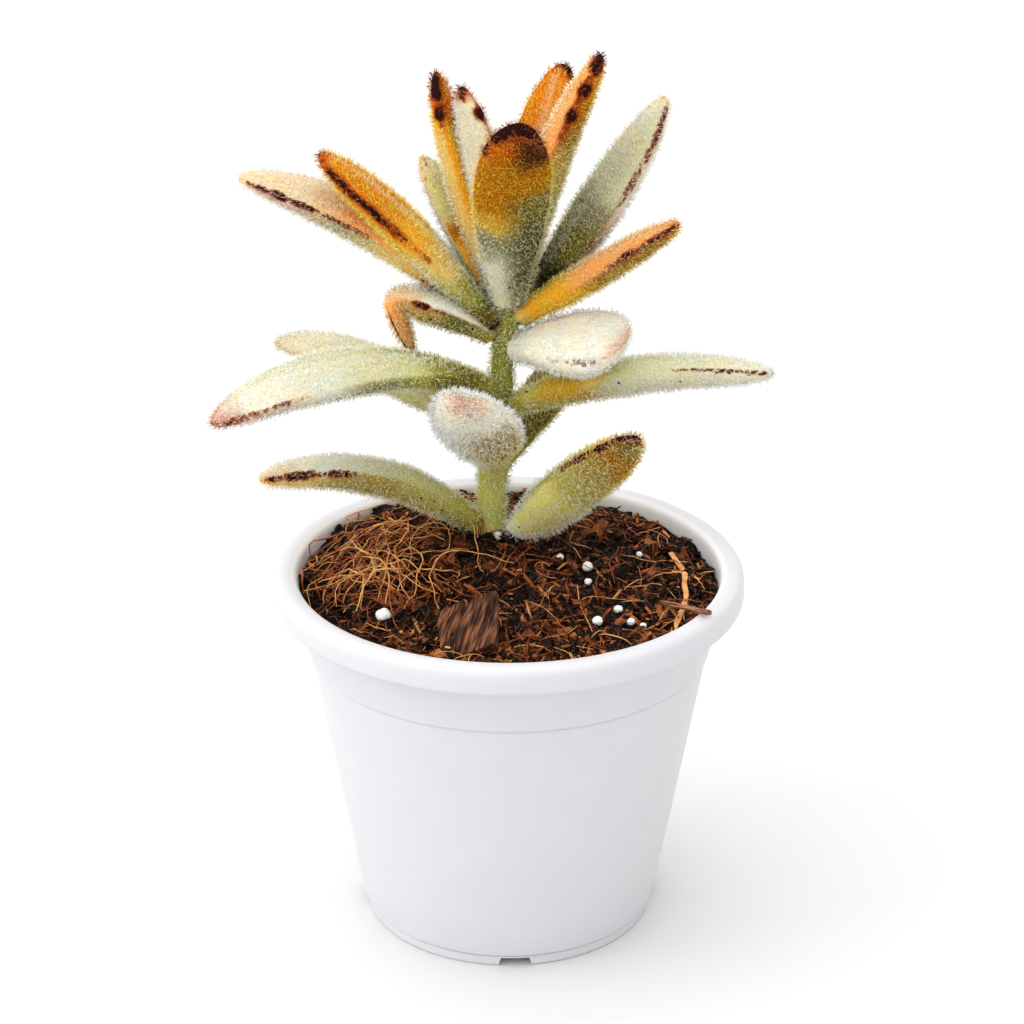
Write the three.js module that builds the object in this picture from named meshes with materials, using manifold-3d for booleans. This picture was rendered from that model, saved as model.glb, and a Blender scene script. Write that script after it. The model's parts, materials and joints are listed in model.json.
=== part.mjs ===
// A panda plant, Kalanchoe tomentosa, growing in a white moulded nursery pot.
// Millimetres, +Z up. The origin is on the table under the middle of the pot and the plant's front faces -Y.
// Every leaf is one closed solid drawn out along its own midrib. The stem stands in a plain hole in the potting mix.
import * as THREE from "three";
import { mergeVertices } from "three/addons/utils/BufferGeometryUtils.js";
import Module from "manifold-3d";

const wasm = await Module();
wasm.setup();

const clearance = 0.35; // kept between any two pieces that touch on the real plant
const radians = THREE.MathUtils.degToRad;

const pot = {
  height: 84, rimRadius: 52.5, rimDrop: 6.2, lipRadius: 47.2, rimRound: 2.6,
  collarTopRadius: 48.1, collarFootRadius: 45.2, collarFootHeight: 65.8, collarStep: 0.6,
  heelRadius: 34.1, heelHeight: 7, footRadius: 33, footHeight: 2.5,
  wall: 1.3, floor: 1.6, segments: 44,
  channels: 4, channelHeight: 2.1, channelWidth: 6.4, channelSpread: 8.2, channelTurn: 2.5,
  ribWidth: 11, ribLength: 18, ribHeight: 3.7, ribReach: 31.5, drainRadius: 2.4, drainCircle: 22,
};

const mix = {
  wallHeight: 78.6, // level of the potting mix where it meets the pot
  moundHeight: 7.4, moundWidth: 27, // how far it rises round the stem, and how wide that rise is
  ripple: 0.7, rings: 8, segments: 32, chips: 34, strands: 8,
};

const stem = {
  foot: new THREE.Vector3(-4.6, 16, 86), // where it leaves the potting mix
  lean: new THREE.Vector3(0.078, 0, 1), // direction of growth
  height: 59, buried: 24, footRadius: 3.3, topRadius: 2.2, sides: 12,
};

// The leaves, from the soil up. azimuth turns from +X towards +Y, and rise is the midrib's angle above the
// horizon, at the stem and at the tip. height is measured up the stem, sway turns the leaf sideways along its
// length and roll tips its upper face. narrow is the width at the stem as a share of the whole width, and
// broadest says how far out the leaf is widest.
const leafForms = [
  {
    name: "leaf_low_left", azimuth: 195, height: 0.5, length: 57.5, width: 14.5, thick: 7.2,
    rise: [49, -8], sway: 10, roll: 13, narrow: 0.5,
  },
  {
    name: "leaf_low_right", azimuth: -25, height: 1, length: 40, width: 17.5, thick: 9.4,
    rise: [49, 41], sway: -4, roll: -28, narrow: 0.7, broadest: 0.5, start: 8.5,
  },
  {
    name: "leaf_mid_back_right", azimuth: 51, height: 14.5, length: 45, width: 13.5, thick: 6.4,
    rise: [45, 14],
  },
  {
    name: "leaf_mid_back_left", azimuth: 160, height: 23, length: 56.5, width: 14, thick: 7.2,
    rise: [34, -8], sway: -8,
  },
  {
    name: "leaf_mid_front", azimuth: -103, height: 20.5, length: 36, width: 20, thick: 11.6,
    rise: [39, 38], roll: -9, narrow: 0.4,
  },
  {
    name: "leaf_mid_right", azimuth: -11, height: 30.5, length: 61.5, width: 17, thick: 8.4,
    rise: [27, -4], sway: -2, roll: -16, narrow: 0.4,
  },
  {
    name: "leaf_mid_left", azimuth: 212, height: 35, length: 71.5, width: 21.5, thick: 7.5,
    rise: [32, -25], sway: -6,
  },
  {
    name: "leaf_collar_front", azimuth: -30, height: 44.5, length: 29, width: 20.5, thick: 10,
    rise: [22, -1], roll: 20, broadest: 0.66,
  },
  {
    name: "leaf_collar_left", azimuth: 187, height: 47, length: 39, width: 14.5, thick: 7.8,
    rise: [37, 2], roll: 9, narrow: 0.42, fold: { at: 0.66, turn: 118, wither: 0.5 },
  },
  {
    name: "leaf_outer_back", azimuth: 92, height: 46, length: 41, width: 14, thick: 7,
    rise: [46, 26],
  },
  {
    name: "leaf_outer_left", azimuth: 169, height: 50, length: 66.5, width: 17.8, thick: 9,
    rise: [48, 8], sway: 4,
  },
  {
    name: "leaf_outer_upper_left", azimuth: 188, height: 49, length: 55.5, width: 20.5, thick: 7.2,
    rise: [56, 34], sway: -25, roll: 4, teeth: 0.4,
  },
  {
    name: "leaf_outer_right", azimuth: 24, height: 49.5, length: 60, width: 18, thick: 7.9,
    rise: [49, 56], roll: -4,
  },
  {
    name: "leaf_outer_low_right", azimuth: -7, height: 51, length: 43, width: 15, thick: 7.2,
    rise: [36, 31], roll: -17, narrow: 0.42,
  },
  {
    name: "leaf_inner_front", azimuth: -87, height: 54.5, length: 53.5, width: 17, thick: 7.6,
    rise: [77, 54], sway: 5, narrow: 0.42, broadest: 0.62, teeth: 0.5,
  },
  {
    name: "leaf_inner_back_left", azimuth: 143, height: 53, length: 38, width: 11.8, thick: 6.4,
    rise: [66, 46], sway: 4,
  },
  {
    name: "leaf_inner_left", azimuth: 148, height: 55.5, length: 51.5, width: 14.3, thick: 6.9,
    rise: [70, 72], sway: -5, roll: 24, teeth: 0.5,
  },
  {
    name: "leaf_inner_right", azimuth: 20, height: 56, length: 57, width: 15, thick: 8.2,
    rise: [85, 54], sway: 2, roll: -22, teeth: 0.5,
  },
  {
    name: "leaf_inner_centre", azimuth: 170, height: 51, length: 53, width: 17.5, thick: 7,
    rise: [92, 71], sway: -12, roll: 50, teeth: 0.6,
  },
  {
    name: "leaf_inner_back", azimuth: 63, height: 58, length: 50.5, width: 14.8, thick: 6.5,
    rise: [70, 55], sway: -3, teeth: 0.5,
  },
  {
    name: "bud_leaf_left", azimuth: 215, height: 58, length: 19, width: 6.2, thick: 3.4,
    rise: [86, 82], start: 3,
  },
  {
    name: "bud_leaf_right", azimuth: 35, height: 59, length: 16, width: 5.6, thick: 3.2,
    rise: [86, 83], start: 2.8,
  },
];

const leafDefaults = { sway: 0, roll: 0, narrow: 0.36, broadest: 0.55, start: 2.2, teeth: 0 };
const leafSides = 10;
const leafRings = 10;
const upperBulge = 0.8; // the upper face is flatter than the lower one
const lowerBulge = 1.2;

// What lies on the potting mix.
const chunk = {
  x: -8, y: -28.8, raised: 2, thick: 2.8, pitch: 0.42, roll: -0.16,
  corners: [[-5.7, -7.8], [5.8, -5], [5.5, 7.8], [-5.6, 4.8]],
};
const tuft = { x: -31, y: 4, reachX: 14, reachY: 26, fibres: 16, fibreRadius: 0.42, steps: 6, clear: 0.95 };
const strip = {
  radius: 0.7,
  route: [[36.8, 14, 1.3], [39.2, 1, 2.1], [39.2, -8, 2.1], [37.8, -17, 1.9], [35, -27, 1.3]], // x, y, above the mix
};
const twig = { radius: 0.65, route: [[33.4, -13.6, 81.2], [38, -20.3, 83.3], [43.2, -27.6, 85.5]] };
const perliteGrains = [
  { x: -2.4, y: 11, radius: 1.1 },
  { x: -27.4, y: -18, radius: 1.9 },
  { x: 17.6, y: 2, radius: 1.25 },
  { x: 11.5, y: 5.4, radius: 0.9 },
  { x: 29.5, y: 11.5, radius: 0.8 },
  { x: 17.6, y: -3.6, radius: 0.9 },
  { x: 24, y: -14.4, radius: 1.1 },
  { x: 26.6, y: -20, radius: 0.95 },
  { x: 29.3, y: -20.6, radius: 0.8 },
  { x: 19.3, y: -21.5, radius: 1.2 },
];

const colours = {
  pot: 0xf2f3f5, mix: 0x3b2118, bark: 0x5a3524, coir: 0xb8743a, perlite: 0xf2efe8,
  stem: 0x93a860, leaf: 0xb4ba8a, bronze: 0xb5761f,
};

// Solids ---------------------------------------------------------------------------------------------------

function solid(geometry) {
  const bare = geometry.clone();
  bare.deleteAttribute("normal");
  bare.deleteAttribute("uv");
  const merged = mergeVertices(bare, 1e-4);
  const { position } = merged.attributes;
  return new wasm.Manifold(
    new wasm.Mesh({ numProp: 3, vertProperties: position.array, triVerts: new Uint32Array(merged.index.array) }),
  );
}

function geometryOf(manifold) {
  const mesh = manifold.getMesh();
  const geometry = new THREE.BufferGeometry();
  geometry.setAttribute("position", new THREE.BufferAttribute(mesh.vertProperties, 3));
  geometry.setIndex(new THREE.BufferAttribute(mesh.triVerts, 1));
  return geometry;
}

// The largest of a solid's separate bodies: what a cut leaves loose is dropped.
function largestBody(manifold) {
  return manifold.decompose().reduce((best, body) => (body.volume() > best.volume() ? body : best));
}

// The same numbers each run, for the scattered pieces.
function seeded(seed) {
  let state = seed;
  return (low, high) => {
    state = (state * 48271) % 2147483647;
    return low + ((high - low) * state) / 2147483647;
  };
}

// Pot ------------------------------------------------------------------------------------------------------

// Half of the pot's section as [radius, height]: from under the floor, round the outside, over the rim and down
// the inside.
function potSection() {
  const rimFoot = pot.height - pot.rimDrop;
  const rimMiddle = (pot.lipRadius + pot.rimRadius) / 2;
  const inside = (radius) => radius - pot.wall;
  return [
    [0, 0],
    [pot.footRadius, 0],
    [pot.footRadius + 0.3, pot.footHeight],
    [pot.heelRadius - 0.5, pot.footHeight + 0.2],
    [pot.heelRadius, pot.heelHeight],
    [pot.collarFootRadius - pot.collarStep, pot.collarFootHeight - 0.3],
    [pot.collarFootRadius, pot.collarFootHeight],
    [pot.collarTopRadius, rimFoot + 0.3],
    [pot.rimRadius - 0.6, rimFoot],
    [pot.rimRadius, rimFoot + 0.6],
    [pot.rimRadius, pot.height - pot.rimRound],
    [pot.rimRadius - 0.75, pot.height - 0.75],
    [rimMiddle + 0.4, pot.height],
    [pot.lipRadius + 0.5, pot.height - 0.6],
    [pot.lipRadius, pot.height - 2],
    [inside(pot.collarTopRadius), rimFoot],
    [inside(pot.collarFootRadius), pot.collarFootHeight - 1],
    [inside(pot.heelRadius), pot.heelHeight + 1],
    [inside(pot.heelRadius) - 1.2, pot.floor],
    [0, pot.floor],
  ];
}

// Radius of the pot's inside at a height.
function potInside(height) {
  const low = [pot.heelRadius - pot.wall, pot.heelHeight + 1];
  const high = [pot.collarFootRadius - pot.wall, pot.collarFootHeight - 1];
  const top = [pot.collarTopRadius - pot.wall, pot.height - pot.rimDrop];
  const [from, to] = height < high[1] ? [low, high] : [high, top];
  const share = Math.min(1, (height - from[1]) / (to[1] - from[1]));
  return from[0] + (to[0] - from[0]) * share;
}

// Turns a piece that lies along -Y to each channel's place in turn, and joins them.
function atEachChannel(makePiece) {
  const pieces = [];
  for (let i = 0; i < pot.channels; i += 1) {
    const turn = (i * 2 * Math.PI) / pot.channels + radians(pot.channelTurn);
    pieces.push(solid(makePiece().rotateZ(turn)));
  }
  return wasm.Manifold.union(pieces);
}

// The raised ribs inside the floor that cover the drain channels.
function makeRibs(grow = 0) {
  return atEachChannel(() => {
    const rib = new THREE.BoxGeometry(pot.ribWidth + 2 * grow, pot.ribLength + 2 * grow, pot.ribHeight);
    return rib.translate(0, pot.ribLength / 2 - pot.ribReach, pot.ribHeight / 2 + grow);
  });
}

// The channels that run from the drain holes to the notches in the foot.
function makeChannels() {
  const shape = new THREE.Shape([
    new THREE.Vector2(-pot.channelSpread / 2, -1),
    new THREE.Vector2(pot.channelSpread / 2, -1),
    new THREE.Vector2(pot.channelWidth / 2, pot.channelHeight),
    new THREE.Vector2(-pot.channelWidth / 2, pot.channelHeight),
  ]);
  const length = pot.footRadius + 3 - pot.drainCircle;
  return atEachChannel(() => {
    const channel = new THREE.ExtrudeGeometry(shape, { depth: length, bevelEnabled: false });
    return channel.rotateX(Math.PI / 2).translate(0, -pot.drainCircle + pot.drainRadius, 0);
  });
}

function makePot() {
  const points = potSection().map(([radius, height]) => new THREE.Vector2(radius, height));
  const body = new THREE.LatheGeometry(points, pot.segments).rotateX(Math.PI / 2);
  const holes = atEachChannel(() => {
    const hole = new THREE.CylinderGeometry(pot.drainRadius, pot.drainRadius, 10, 8);
    return hole.rotateX(Math.PI / 2).translate(0, -pot.drainCircle, pot.channelHeight + 4.5);
  });
  return solid(body).add(makeRibs()).subtract(makeChannels()).subtract(holes);
}

// Stem and leaves ------------------------------------------------------------------------------------------

function stemAt(height) {
  return stem.foot.clone().addScaledVector(stem.lean, height);
}

function makeStem(grow = 0) {
  const section = [
    [0, -stem.buried - grow],
    [1.4 + grow, -stem.buried - grow],
    [stem.footRadius + grow, -4],
    [stem.footRadius + grow, 12],
    [(stem.footRadius + stem.topRadius) / 2 + grow, 36],
    [stem.topRadius + grow, stem.height - 3],
    [0.9 + grow, stem.height + grow],
    [0, stem.height + grow],
  ];
  const points = section.map(([radius, height]) => new THREE.Vector2(radius, height));
  const shaft = new THREE.LatheGeometry(points, stem.sides).rotateX(Math.PI / 2);
  const shear = new THREE.Matrix4().set(
    1, 0, stem.lean.x, stem.foot.x,
    0, 1, stem.lean.y, stem.foot.y,
    0, 0, 1, stem.foot.z,
    0, 0, 0, 1,
  );
  return solid(shaft.applyMatrix4(shear));
}

// Width of a leaf at a share of its length, as a share of its full width: it swells from the stem to its
// broadest place and closes in a rounded tip.
function outline(share, narrow, broadest, closing) {
  if (share < broadest) {
    return narrow + (1 - narrow) * Math.sin((Math.PI / 2) * (share / broadest)) ** 1.3;
  }
  const past = (share - broadest) / (1 - broadest);
  return Math.sqrt(Math.max(0, 1 - past ** 2)) ** closing;
}

// Angle of the midrib above the horizon, in degrees. A folded tip turns down past the fold.
function riseAt(form, share) {
  const [first, last] = form.rise;
  const rise = first + (last - first) * share;
  if (!form.fold) return rise;
  const folded = THREE.MathUtils.smoothstep(share, form.fold.at - 0.07, form.fold.at + 0.07);
  return rise - form.fold.turn * folded;
}

// Direction in which the leaf grows at a share of its length.
function headingAt(form, share) {
  const azimuth = radians(form.azimuth + form.sway * share);
  const rise = radians(riseAt(form, share));
  return new THREE.Vector3(
    Math.cos(rise) * Math.cos(azimuth),
    Math.cos(rise) * Math.sin(azimuth),
    Math.sin(rise),
  );
}

// Place on the midrib, reached by short straight steps from the stem.
function midribAt(form, share) {
  const steps = 40;
  const place = stemAt(form.height);
  place.x += form.start * Math.cos(radians(form.azimuth));
  place.y += form.start * Math.sin(radians(form.azimuth));
  for (let i = 0; i < steps; i += 1) {
    const heading = headingAt(form, (share * (i + 0.5)) / steps);
    place.addScaledVector(heading, (form.length * share) / steps);
  }
  return place;
}

// A cross section of the leaf: its middle, which way is sideways and which is out of the upper face, and the
// half width and half thickness.
function sectionAt(form, share) {
  const azimuth = radians(form.azimuth + form.sway * share);
  const heading = headingAt(form, share);
  const sideways = new THREE.Vector3(-Math.sin(azimuth), Math.cos(azimuth), 0);
  sideways.applyAxisAngle(heading, radians(form.roll));
  const folded = form.fold ? THREE.MathUtils.smoothstep(share, form.fold.at - 0.2, form.fold.at) : 0;
  const plump = form.fold ? 1 - form.fold.wither * folded : 1;
  return {
    share,
    middle: midribAt(form, share),
    sideways,
    outward: heading.clone().cross(sideways),
    halfWidth: (form.width / 2) * plump * outline(share, form.narrow, form.broadest, 1.1),
    halfThick: (form.thick / 2) * plump * outline(share, 0.62, form.broadest * 0.8, 0.95),
  };
}

// Where the cross sections of a leaf lie, closer together towards the tip and at a fold.
function leafStations(form) {
  const stations = [];
  for (let i = 0; i < leafRings; i += 1) stations.push(1 - (1 - i / leafRings) ** 1.5);
  if (form.fold) stations.push(form.fold.at - 0.04, form.fold.at + 0.04);
  return stations.sort((first, second) => first - second);
}

// One leaf: a sphere with its poles drawn out to the stem end and the tip, and a ring of points at each section.
function makeLeaf(given, grow = 0) {
  const form = { ...leafDefaults, ...given };
  const sections = leafStations(form).map((share) => sectionAt(form, share));
  const ball = new THREE.SphereGeometry(1, leafSides, sections.length + 1);
  const place = ball.attributes.position;
  const stemEnd = midribAt(form, 0).addScaledVector(headingAt(form, 0), -0.6 - grow);
  const tip = midribAt(form, 1).addScaledVector(headingAt(form, 1), grow);
  for (let ring = 0; ring < sections.length + 2; ring += 1) {
    for (let side = 0; side <= leafSides; side += 1) {
      const index = ring * (leafSides + 1) + side;
      const pole = ring === 0 ? stemEnd : tip;
      place.setXYZ(index, pole.x, pole.y, pole.z);
      if (ring === 0 || ring > sections.length) continue;
      const at = sections[ring - 1];
      const around = ((side % leafSides) / leafSides) * 2 * Math.PI;
      const across = -Math.cos(around);
      const lift = Math.sin(around);
      const bulge = lift > 0 ? upperBulge : lowerBulge;
      const toothed = at.share > 0.5 && ring % 2 === 0;
      const tooth = toothed ? form.teeth * Math.abs(across) ** 3 : 0;
      const point = at.middle.clone();
      point.addScaledVector(at.sideways, across * (at.halfWidth + grow + tooth));
      point.addScaledVector(at.outward, lift * (at.halfThick * bulge + grow));
      place.setXYZ(index, point.x, point.y, point.z);
    }
  }
  return solid(ball);
}

// Potting mix and what lies on it --------------------------------------------------------------------------

// Level of the potting mix, before any chip lies on it.
function mixLevel(x, y) {
  const fromStem = Math.hypot(x - stem.foot.x, y - stem.foot.y);
  const mound = mix.moundHeight * Math.exp(-((fromStem / mix.moundWidth) ** 2));
  const lumps = Math.sin(x * 0.31 + 1.3) * Math.cos(y * 0.27 - 0.4);
  return mix.wallHeight + mound + mix.ripple * lumps;
}

// A disc of potting mix with an uneven top, inside the pot's wall.
function makeMixBody() {
  const floor = pot.floor + clearance;
  const inner = (height) => potInside(height) - clearance - 0.15;
  const profile = [
    new THREE.Vector2(0, floor),
    new THREE.Vector2(inner(9) - 1.6, floor),
    new THREE.Vector2(inner(9), 9),
    new THREE.Vector2(inner(pot.collarFootHeight - 1), pot.collarFootHeight - 1),
  ];
  const edge = inner(74);
  for (let i = 0; i <= mix.rings; i += 1) {
    profile.push(new THREE.Vector2(edge * (1 - i / mix.rings), 76));
  }
  const body = new THREE.LatheGeometry(profile, mix.segments).rotateX(Math.PI / 2);
  const place = body.attributes.position;
  for (let i = 0; i < place.count; i += 1) {
    if (Math.abs(place.getZ(i) - 76) > 0.01) continue;
    place.setZ(i, mixLevel(place.getX(i), place.getY(i)));
  }
  return solid(body);
}

// A flat splinter of bark, length along X, with slanted ends.
function splinter(length, width, thick) {
  const shape = new THREE.Shape([
    new THREE.Vector2(-length / 2, -width * 0.3),
    new THREE.Vector2(length * 0.38, -width / 2),
    new THREE.Vector2(length / 2, width * 0.2),
    new THREE.Vector2(-length * 0.36, width / 2),
  ]);
  return new THREE.ExtrudeGeometry(shape, { depth: thick, bevelEnabled: false }).translate(0, 0, -thick / 2);
}

// Turns a piece that lies along X and sets it on the potting mix, raised by the given height.
function laid(geometry, x, y, turn, tilt, raised) {
  return geometry.rotateY(tilt).rotateZ(turn).translate(x, y, mixLevel(x, y) + raised);
}

// Whether a place is clear of the pieces that lie on the mix, and inside the pot.
function isFree(x, y) {
  const nearTuft = Math.hypot((x - tuft.x) / 17, (y - tuft.y) / 25) < 1;
  const nearChunk = Math.hypot(x - chunk.x, y - chunk.y) < 10;
  const nearStem = Math.hypot(x - stem.foot.x, y - stem.foot.y) < 6;
  const nearStrip = Math.abs(x - 38) < 4 && y < 16 && y > -32;
  return !(nearTuft || nearChunk || nearStem || nearStrip) && Math.hypot(x, y) < 44;
}

function makeMix() {
  const draw = seeded(20611);
  const pieces = [makeMixBody()];
  while (pieces.length <= mix.chips + mix.strands) {
    const turn = draw(0, 2 * Math.PI);
    const away = 43 * Math.sqrt(draw(0, 1));
    const isChip = pieces.length <= mix.chips;
    const length = isChip ? draw(4, 9) : draw(9, 13);
    const width = isChip ? draw(1.8, 4.2) : 1.1;
    const heading = draw(0, Math.PI);
    const tilt = draw(-0.35, 0.35);
    const ends = [-0.5, 0, 0.5].map((part) => [
      away * Math.cos(turn) + Math.cos(heading) * length * part,
      away * Math.sin(turn) + Math.sin(heading) * length * part,
    ]);
    if (!ends.every(([x, y]) => isFree(x, y))) continue;
    pieces.push(solid(laid(splinter(length, width, 1.3), ...ends[1], heading, tilt, 0.15)));
  }
  return wasm.Manifold.union(pieces);
}

// The thick piece of bark that leans on the mix, with grooves along its grain.
function makeBarkChunk(grow = 0) {
  const corners = chunk.corners.map(([x, y]) => [x + Math.sign(x) * grow, y + Math.sign(y) * grow]);
  const shape = new THREE.Shape(corners.map(([x, y]) => new THREE.Vector2(x, y)));
  const slab = new THREE.ExtrudeGeometry(shape, { depth: chunk.thick + 2 * grow, bevelEnabled: false });
  const lie = new THREE.Matrix4().makeRotationFromEuler(new THREE.Euler(chunk.pitch, chunk.roll, 0));
  lie.setPosition(chunk.x, chunk.y, mixLevel(chunk.x, chunk.y) + chunk.raised);
  let made = solid(slab.translate(0, 0, -grow));
  for (let i = -2; i <= 2 && grow === 0; i += 1) {
    const groove = new THREE.CylinderGeometry(0.5, 0.5, 30, 4);
    groove.rotateZ(i * 0.03).translate(i * 2.1, 0, chunk.thick);
    made = made.subtract(solid(groove));
  }
  return made.transform([...lie.elements]);
}

// A strand along a curve, with a few flat sides.
function strand(points, radius, sides, steps) {
  const section = new THREE.Shape();
  for (let i = 0; i < sides; i += 1) {
    const angle = (i * 2 * Math.PI) / sides;
    const corner = [radius * Math.cos(angle), radius * Math.sin(angle)];
    if (i === 0) section.moveTo(...corner);
    else section.lineTo(...corner);
  }
  section.closePath();
  const path = new THREE.CatmullRomCurve3(points);
  return new THREE.ExtrudeGeometry(section, { steps, extrudePath: path, bevelEnabled: false });
}

// A loose mat of coir: fibres that arch over the mix and cross each other.
function makeCoirTuft() {
  const draw = seeded(7151);
  const pieces = [];
  for (let i = 0; i < tuft.fibres; i += 1) {
    const heading = draw(0.5, 2.1);
    const half = draw(9, 15);
    const middle = [tuft.x + draw(-0.5, 0.5) * tuft.reachX, tuft.y + draw(-0.5, 0.5) * tuft.reachY];
    const bow = draw(-3.5, 3.5);
    const lift = draw(0.4, 2.6);
    const points = [-1, -0.5, 0, 0.5, 1].map((part) => {
      const bent = bow * (1 - part ** 2);
      const x = middle[0] + Math.cos(heading) * half * part - Math.sin(heading) * bent;
      const y = middle[1] + Math.sin(heading) * half * part + Math.cos(heading) * bent;
      const pull = Math.min(1, 43.5 / Math.hypot(x, y));
      const level = mixLevel(x * pull, y * pull);
      return new THREE.Vector3(x * pull, y * pull, level + tuft.clear + lift * (1 - part ** 2));
    });
    pieces.push(solid(strand(points, tuft.fibreRadius, 3, tuft.steps)));
  }
  return largestBody(wasm.Manifold.union(pieces));
}

// The long strip of coir by the pot's right wall.
function makeCoirStrip() {
  const points = strip.route.map(([x, y, raised]) => new THREE.Vector3(x, y, mixLevel(x, y) + raised));
  return solid(strand(points, strip.radius, 4, 10));
}

// The twig that lies on the mix and over the rim.
function makeTwig() {
  const points = twig.route.map((at) => new THREE.Vector3(...at));
  return solid(strand(points, twig.radius, 6, 4));
}

function makePerlite({ x, y, radius }, grow = 0) {
  const ball = new THREE.IcosahedronGeometry(radius + grow, 0);
  return solid(ball.rotateZ(x).translate(x, y, mixLevel(x, y) + 0.45 * radius + 0.4));
}

// The whole plant ------------------------------------------------------------------------------------------

const group = new THREE.Group();
group.name = "panda_plant";

function add(name, manifold, colour, roughness) {
  const material = new THREE.MeshStandardMaterial({ color: colour, roughness, metalness: 0 });
  const mesh = new THREE.Mesh(geometryOf(manifold), material);
  mesh.name = name;
  group.add(mesh);
}

// Leaves that overlap at the stem give way to the stem and to the leaves above them.
const leaves = [];
const grownStem = makeStem(clearance);
for (const form of [...leafForms].reverse()) {
  const overlaps = leaves.map((other) => makeLeaf(other.form, clearance));
  const cut = makeLeaf(form).subtract(wasm.Manifold.union([grownStem, ...overlaps]));
  leaves.push({ form, body: largestBody(cut) });
}

const settled = [
  makeBarkChunk(clearance),
  grownStem,
  makeRibs(clearance),
  ...perliteGrains.map((grain) => makePerlite(grain, clearance)),
  ...leafForms.filter((form) => form.height < 3).map((form) => makeLeaf(form, clearance)),
];
const mixBody = largestBody(makeMix().subtract(wasm.Manifold.union(settled)));

add("pot", makePot(), colours.pot, 0.35);
add("potting_mix", mixBody, colours.mix, 0.95);
add("stem", makeStem(), colours.stem, 0.8);
for (const { form, body } of leaves.reverse()) {
  const isBronzed = /inner|upper|low_right/.test(form.name);
  add(form.name, body, isBronzed ? colours.bronze : colours.leaf, 0.85);
}
add("bark_chunk", makeBarkChunk(), colours.bark, 0.9);
add("coir_tuft", makeCoirTuft(), colours.coir, 0.85);
add("coir_strip", makeCoirStrip(), colours.coir, 0.85);
add("twig", makeTwig(), colours.bark, 0.9);
perliteGrains.forEach((grain, index) => {
  add(`perlite_${index + 1}`, makePerlite(grain), colours.perlite, 0.9);
});

export default group;
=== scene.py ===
# A panda plant in a white nursery pot: fuzzy leaves with brown margins, over a barky potting mix.
# Lengths are in millimetres, and everything is scaled by mm where it becomes a mesh.
import json
import math
import random

import bmesh
import bpy
from mathutils import Matrix, Vector, noise

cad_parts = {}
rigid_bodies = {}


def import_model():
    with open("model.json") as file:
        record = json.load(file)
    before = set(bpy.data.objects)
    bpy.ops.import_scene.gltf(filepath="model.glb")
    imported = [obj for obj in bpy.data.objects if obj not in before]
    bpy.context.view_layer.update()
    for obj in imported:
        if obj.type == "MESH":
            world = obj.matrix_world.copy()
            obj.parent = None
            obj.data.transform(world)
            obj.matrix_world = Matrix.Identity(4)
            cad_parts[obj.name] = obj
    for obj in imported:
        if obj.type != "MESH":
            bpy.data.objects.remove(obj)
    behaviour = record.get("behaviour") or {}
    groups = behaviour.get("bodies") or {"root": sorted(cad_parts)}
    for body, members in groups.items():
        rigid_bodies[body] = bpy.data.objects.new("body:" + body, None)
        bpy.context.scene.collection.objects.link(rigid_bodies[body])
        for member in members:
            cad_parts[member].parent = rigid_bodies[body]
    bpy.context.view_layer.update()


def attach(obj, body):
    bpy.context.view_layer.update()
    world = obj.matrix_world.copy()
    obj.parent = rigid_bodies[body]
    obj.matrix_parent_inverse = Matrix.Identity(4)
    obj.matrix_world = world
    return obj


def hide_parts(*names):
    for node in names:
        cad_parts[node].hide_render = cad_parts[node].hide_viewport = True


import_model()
mm = 0.001
up = Vector((0, 0, 1))


def tone(red, green, blue):  # a colour as it is seen, 0 to 255, made linear
    return tuple(((c / 255 + 0.055) / 1.055) ** 2.4 for c in (red, green, blue)) + (1,)


def smooth(low, high, value):
    share = min(1, max(0, (value - low) / (high - low)))
    return share * share * (3 - 2 * share)


def ripple(place, size, seed=0):  # smooth noise, about -1 to 1, with bumps of the given size
    return noise.noise(Vector(place) / size + Vector((seed * 7.3, seed * 3.1, seed * 5.7)))


# Wiring of nodes


class Signal:  # an output of a node, with which sums can be written
    def __init__(self, wiring, socket):
        self.wiring, self.socket = wiring, socket

    def maths(self, operation, first, second):
        return self.wiring.add("ShaderNodeMath", {"operation": operation}, {0: first, 1: second})

    def __add__(self, other):
        return self.maths("ADD", self, other)

    def __radd__(self, other):
        return self.maths("ADD", other, self)

    def __sub__(self, other):
        return self.maths("SUBTRACT", self, other)

    def __rsub__(self, other):
        return self.maths("SUBTRACT", other, self)

    def __mul__(self, other):
        return self.maths("MULTIPLY", self, other)

    def __rmul__(self, other):
        return self.maths("MULTIPLY", other, self)

    def between(self, low, high):  # 0 below low, 1 above high
        sockets = {"Value": self, "From Min": low, "From Max": high}
        return self.wiring.add("ShaderNodeMapRange", {"interpolation_type": "SMOOTHSTEP"}, sockets)


class Wiring:
    def __init__(self, tree):
        self.tree = tree

    def add(self, kind, settings=None, sockets=None, output=0):
        node = self.tree.nodes.new(kind)
        for name, value in (settings or {}).items():
            if name == "stops":
                self.setStops(node.color_ramp, value)
            else:
                setattr(node, name, value)
        for name, value in (sockets or {}).items():
            if isinstance(value, Signal):
                self.tree.links.new(value.socket, node.inputs[name])
            else:
                node.inputs[name].default_value = value
        return Signal(self, node.outputs[output]) if node.outputs else node

    def setStops(self, ramp, stops):
        while len(ramp.elements) < len(stops):
            ramp.elements.new(1)
        for element, (position, colour) in zip(ramp.elements, stops):
            element.position, element.color = position, colour

    def vector(self, operation, first, second, output=0):
        named = "Scale" if operation == "SCALE" else 1
        return self.add("ShaderNodeVectorMath", {"operation": operation}, {0: first, named: second}, output)


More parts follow.
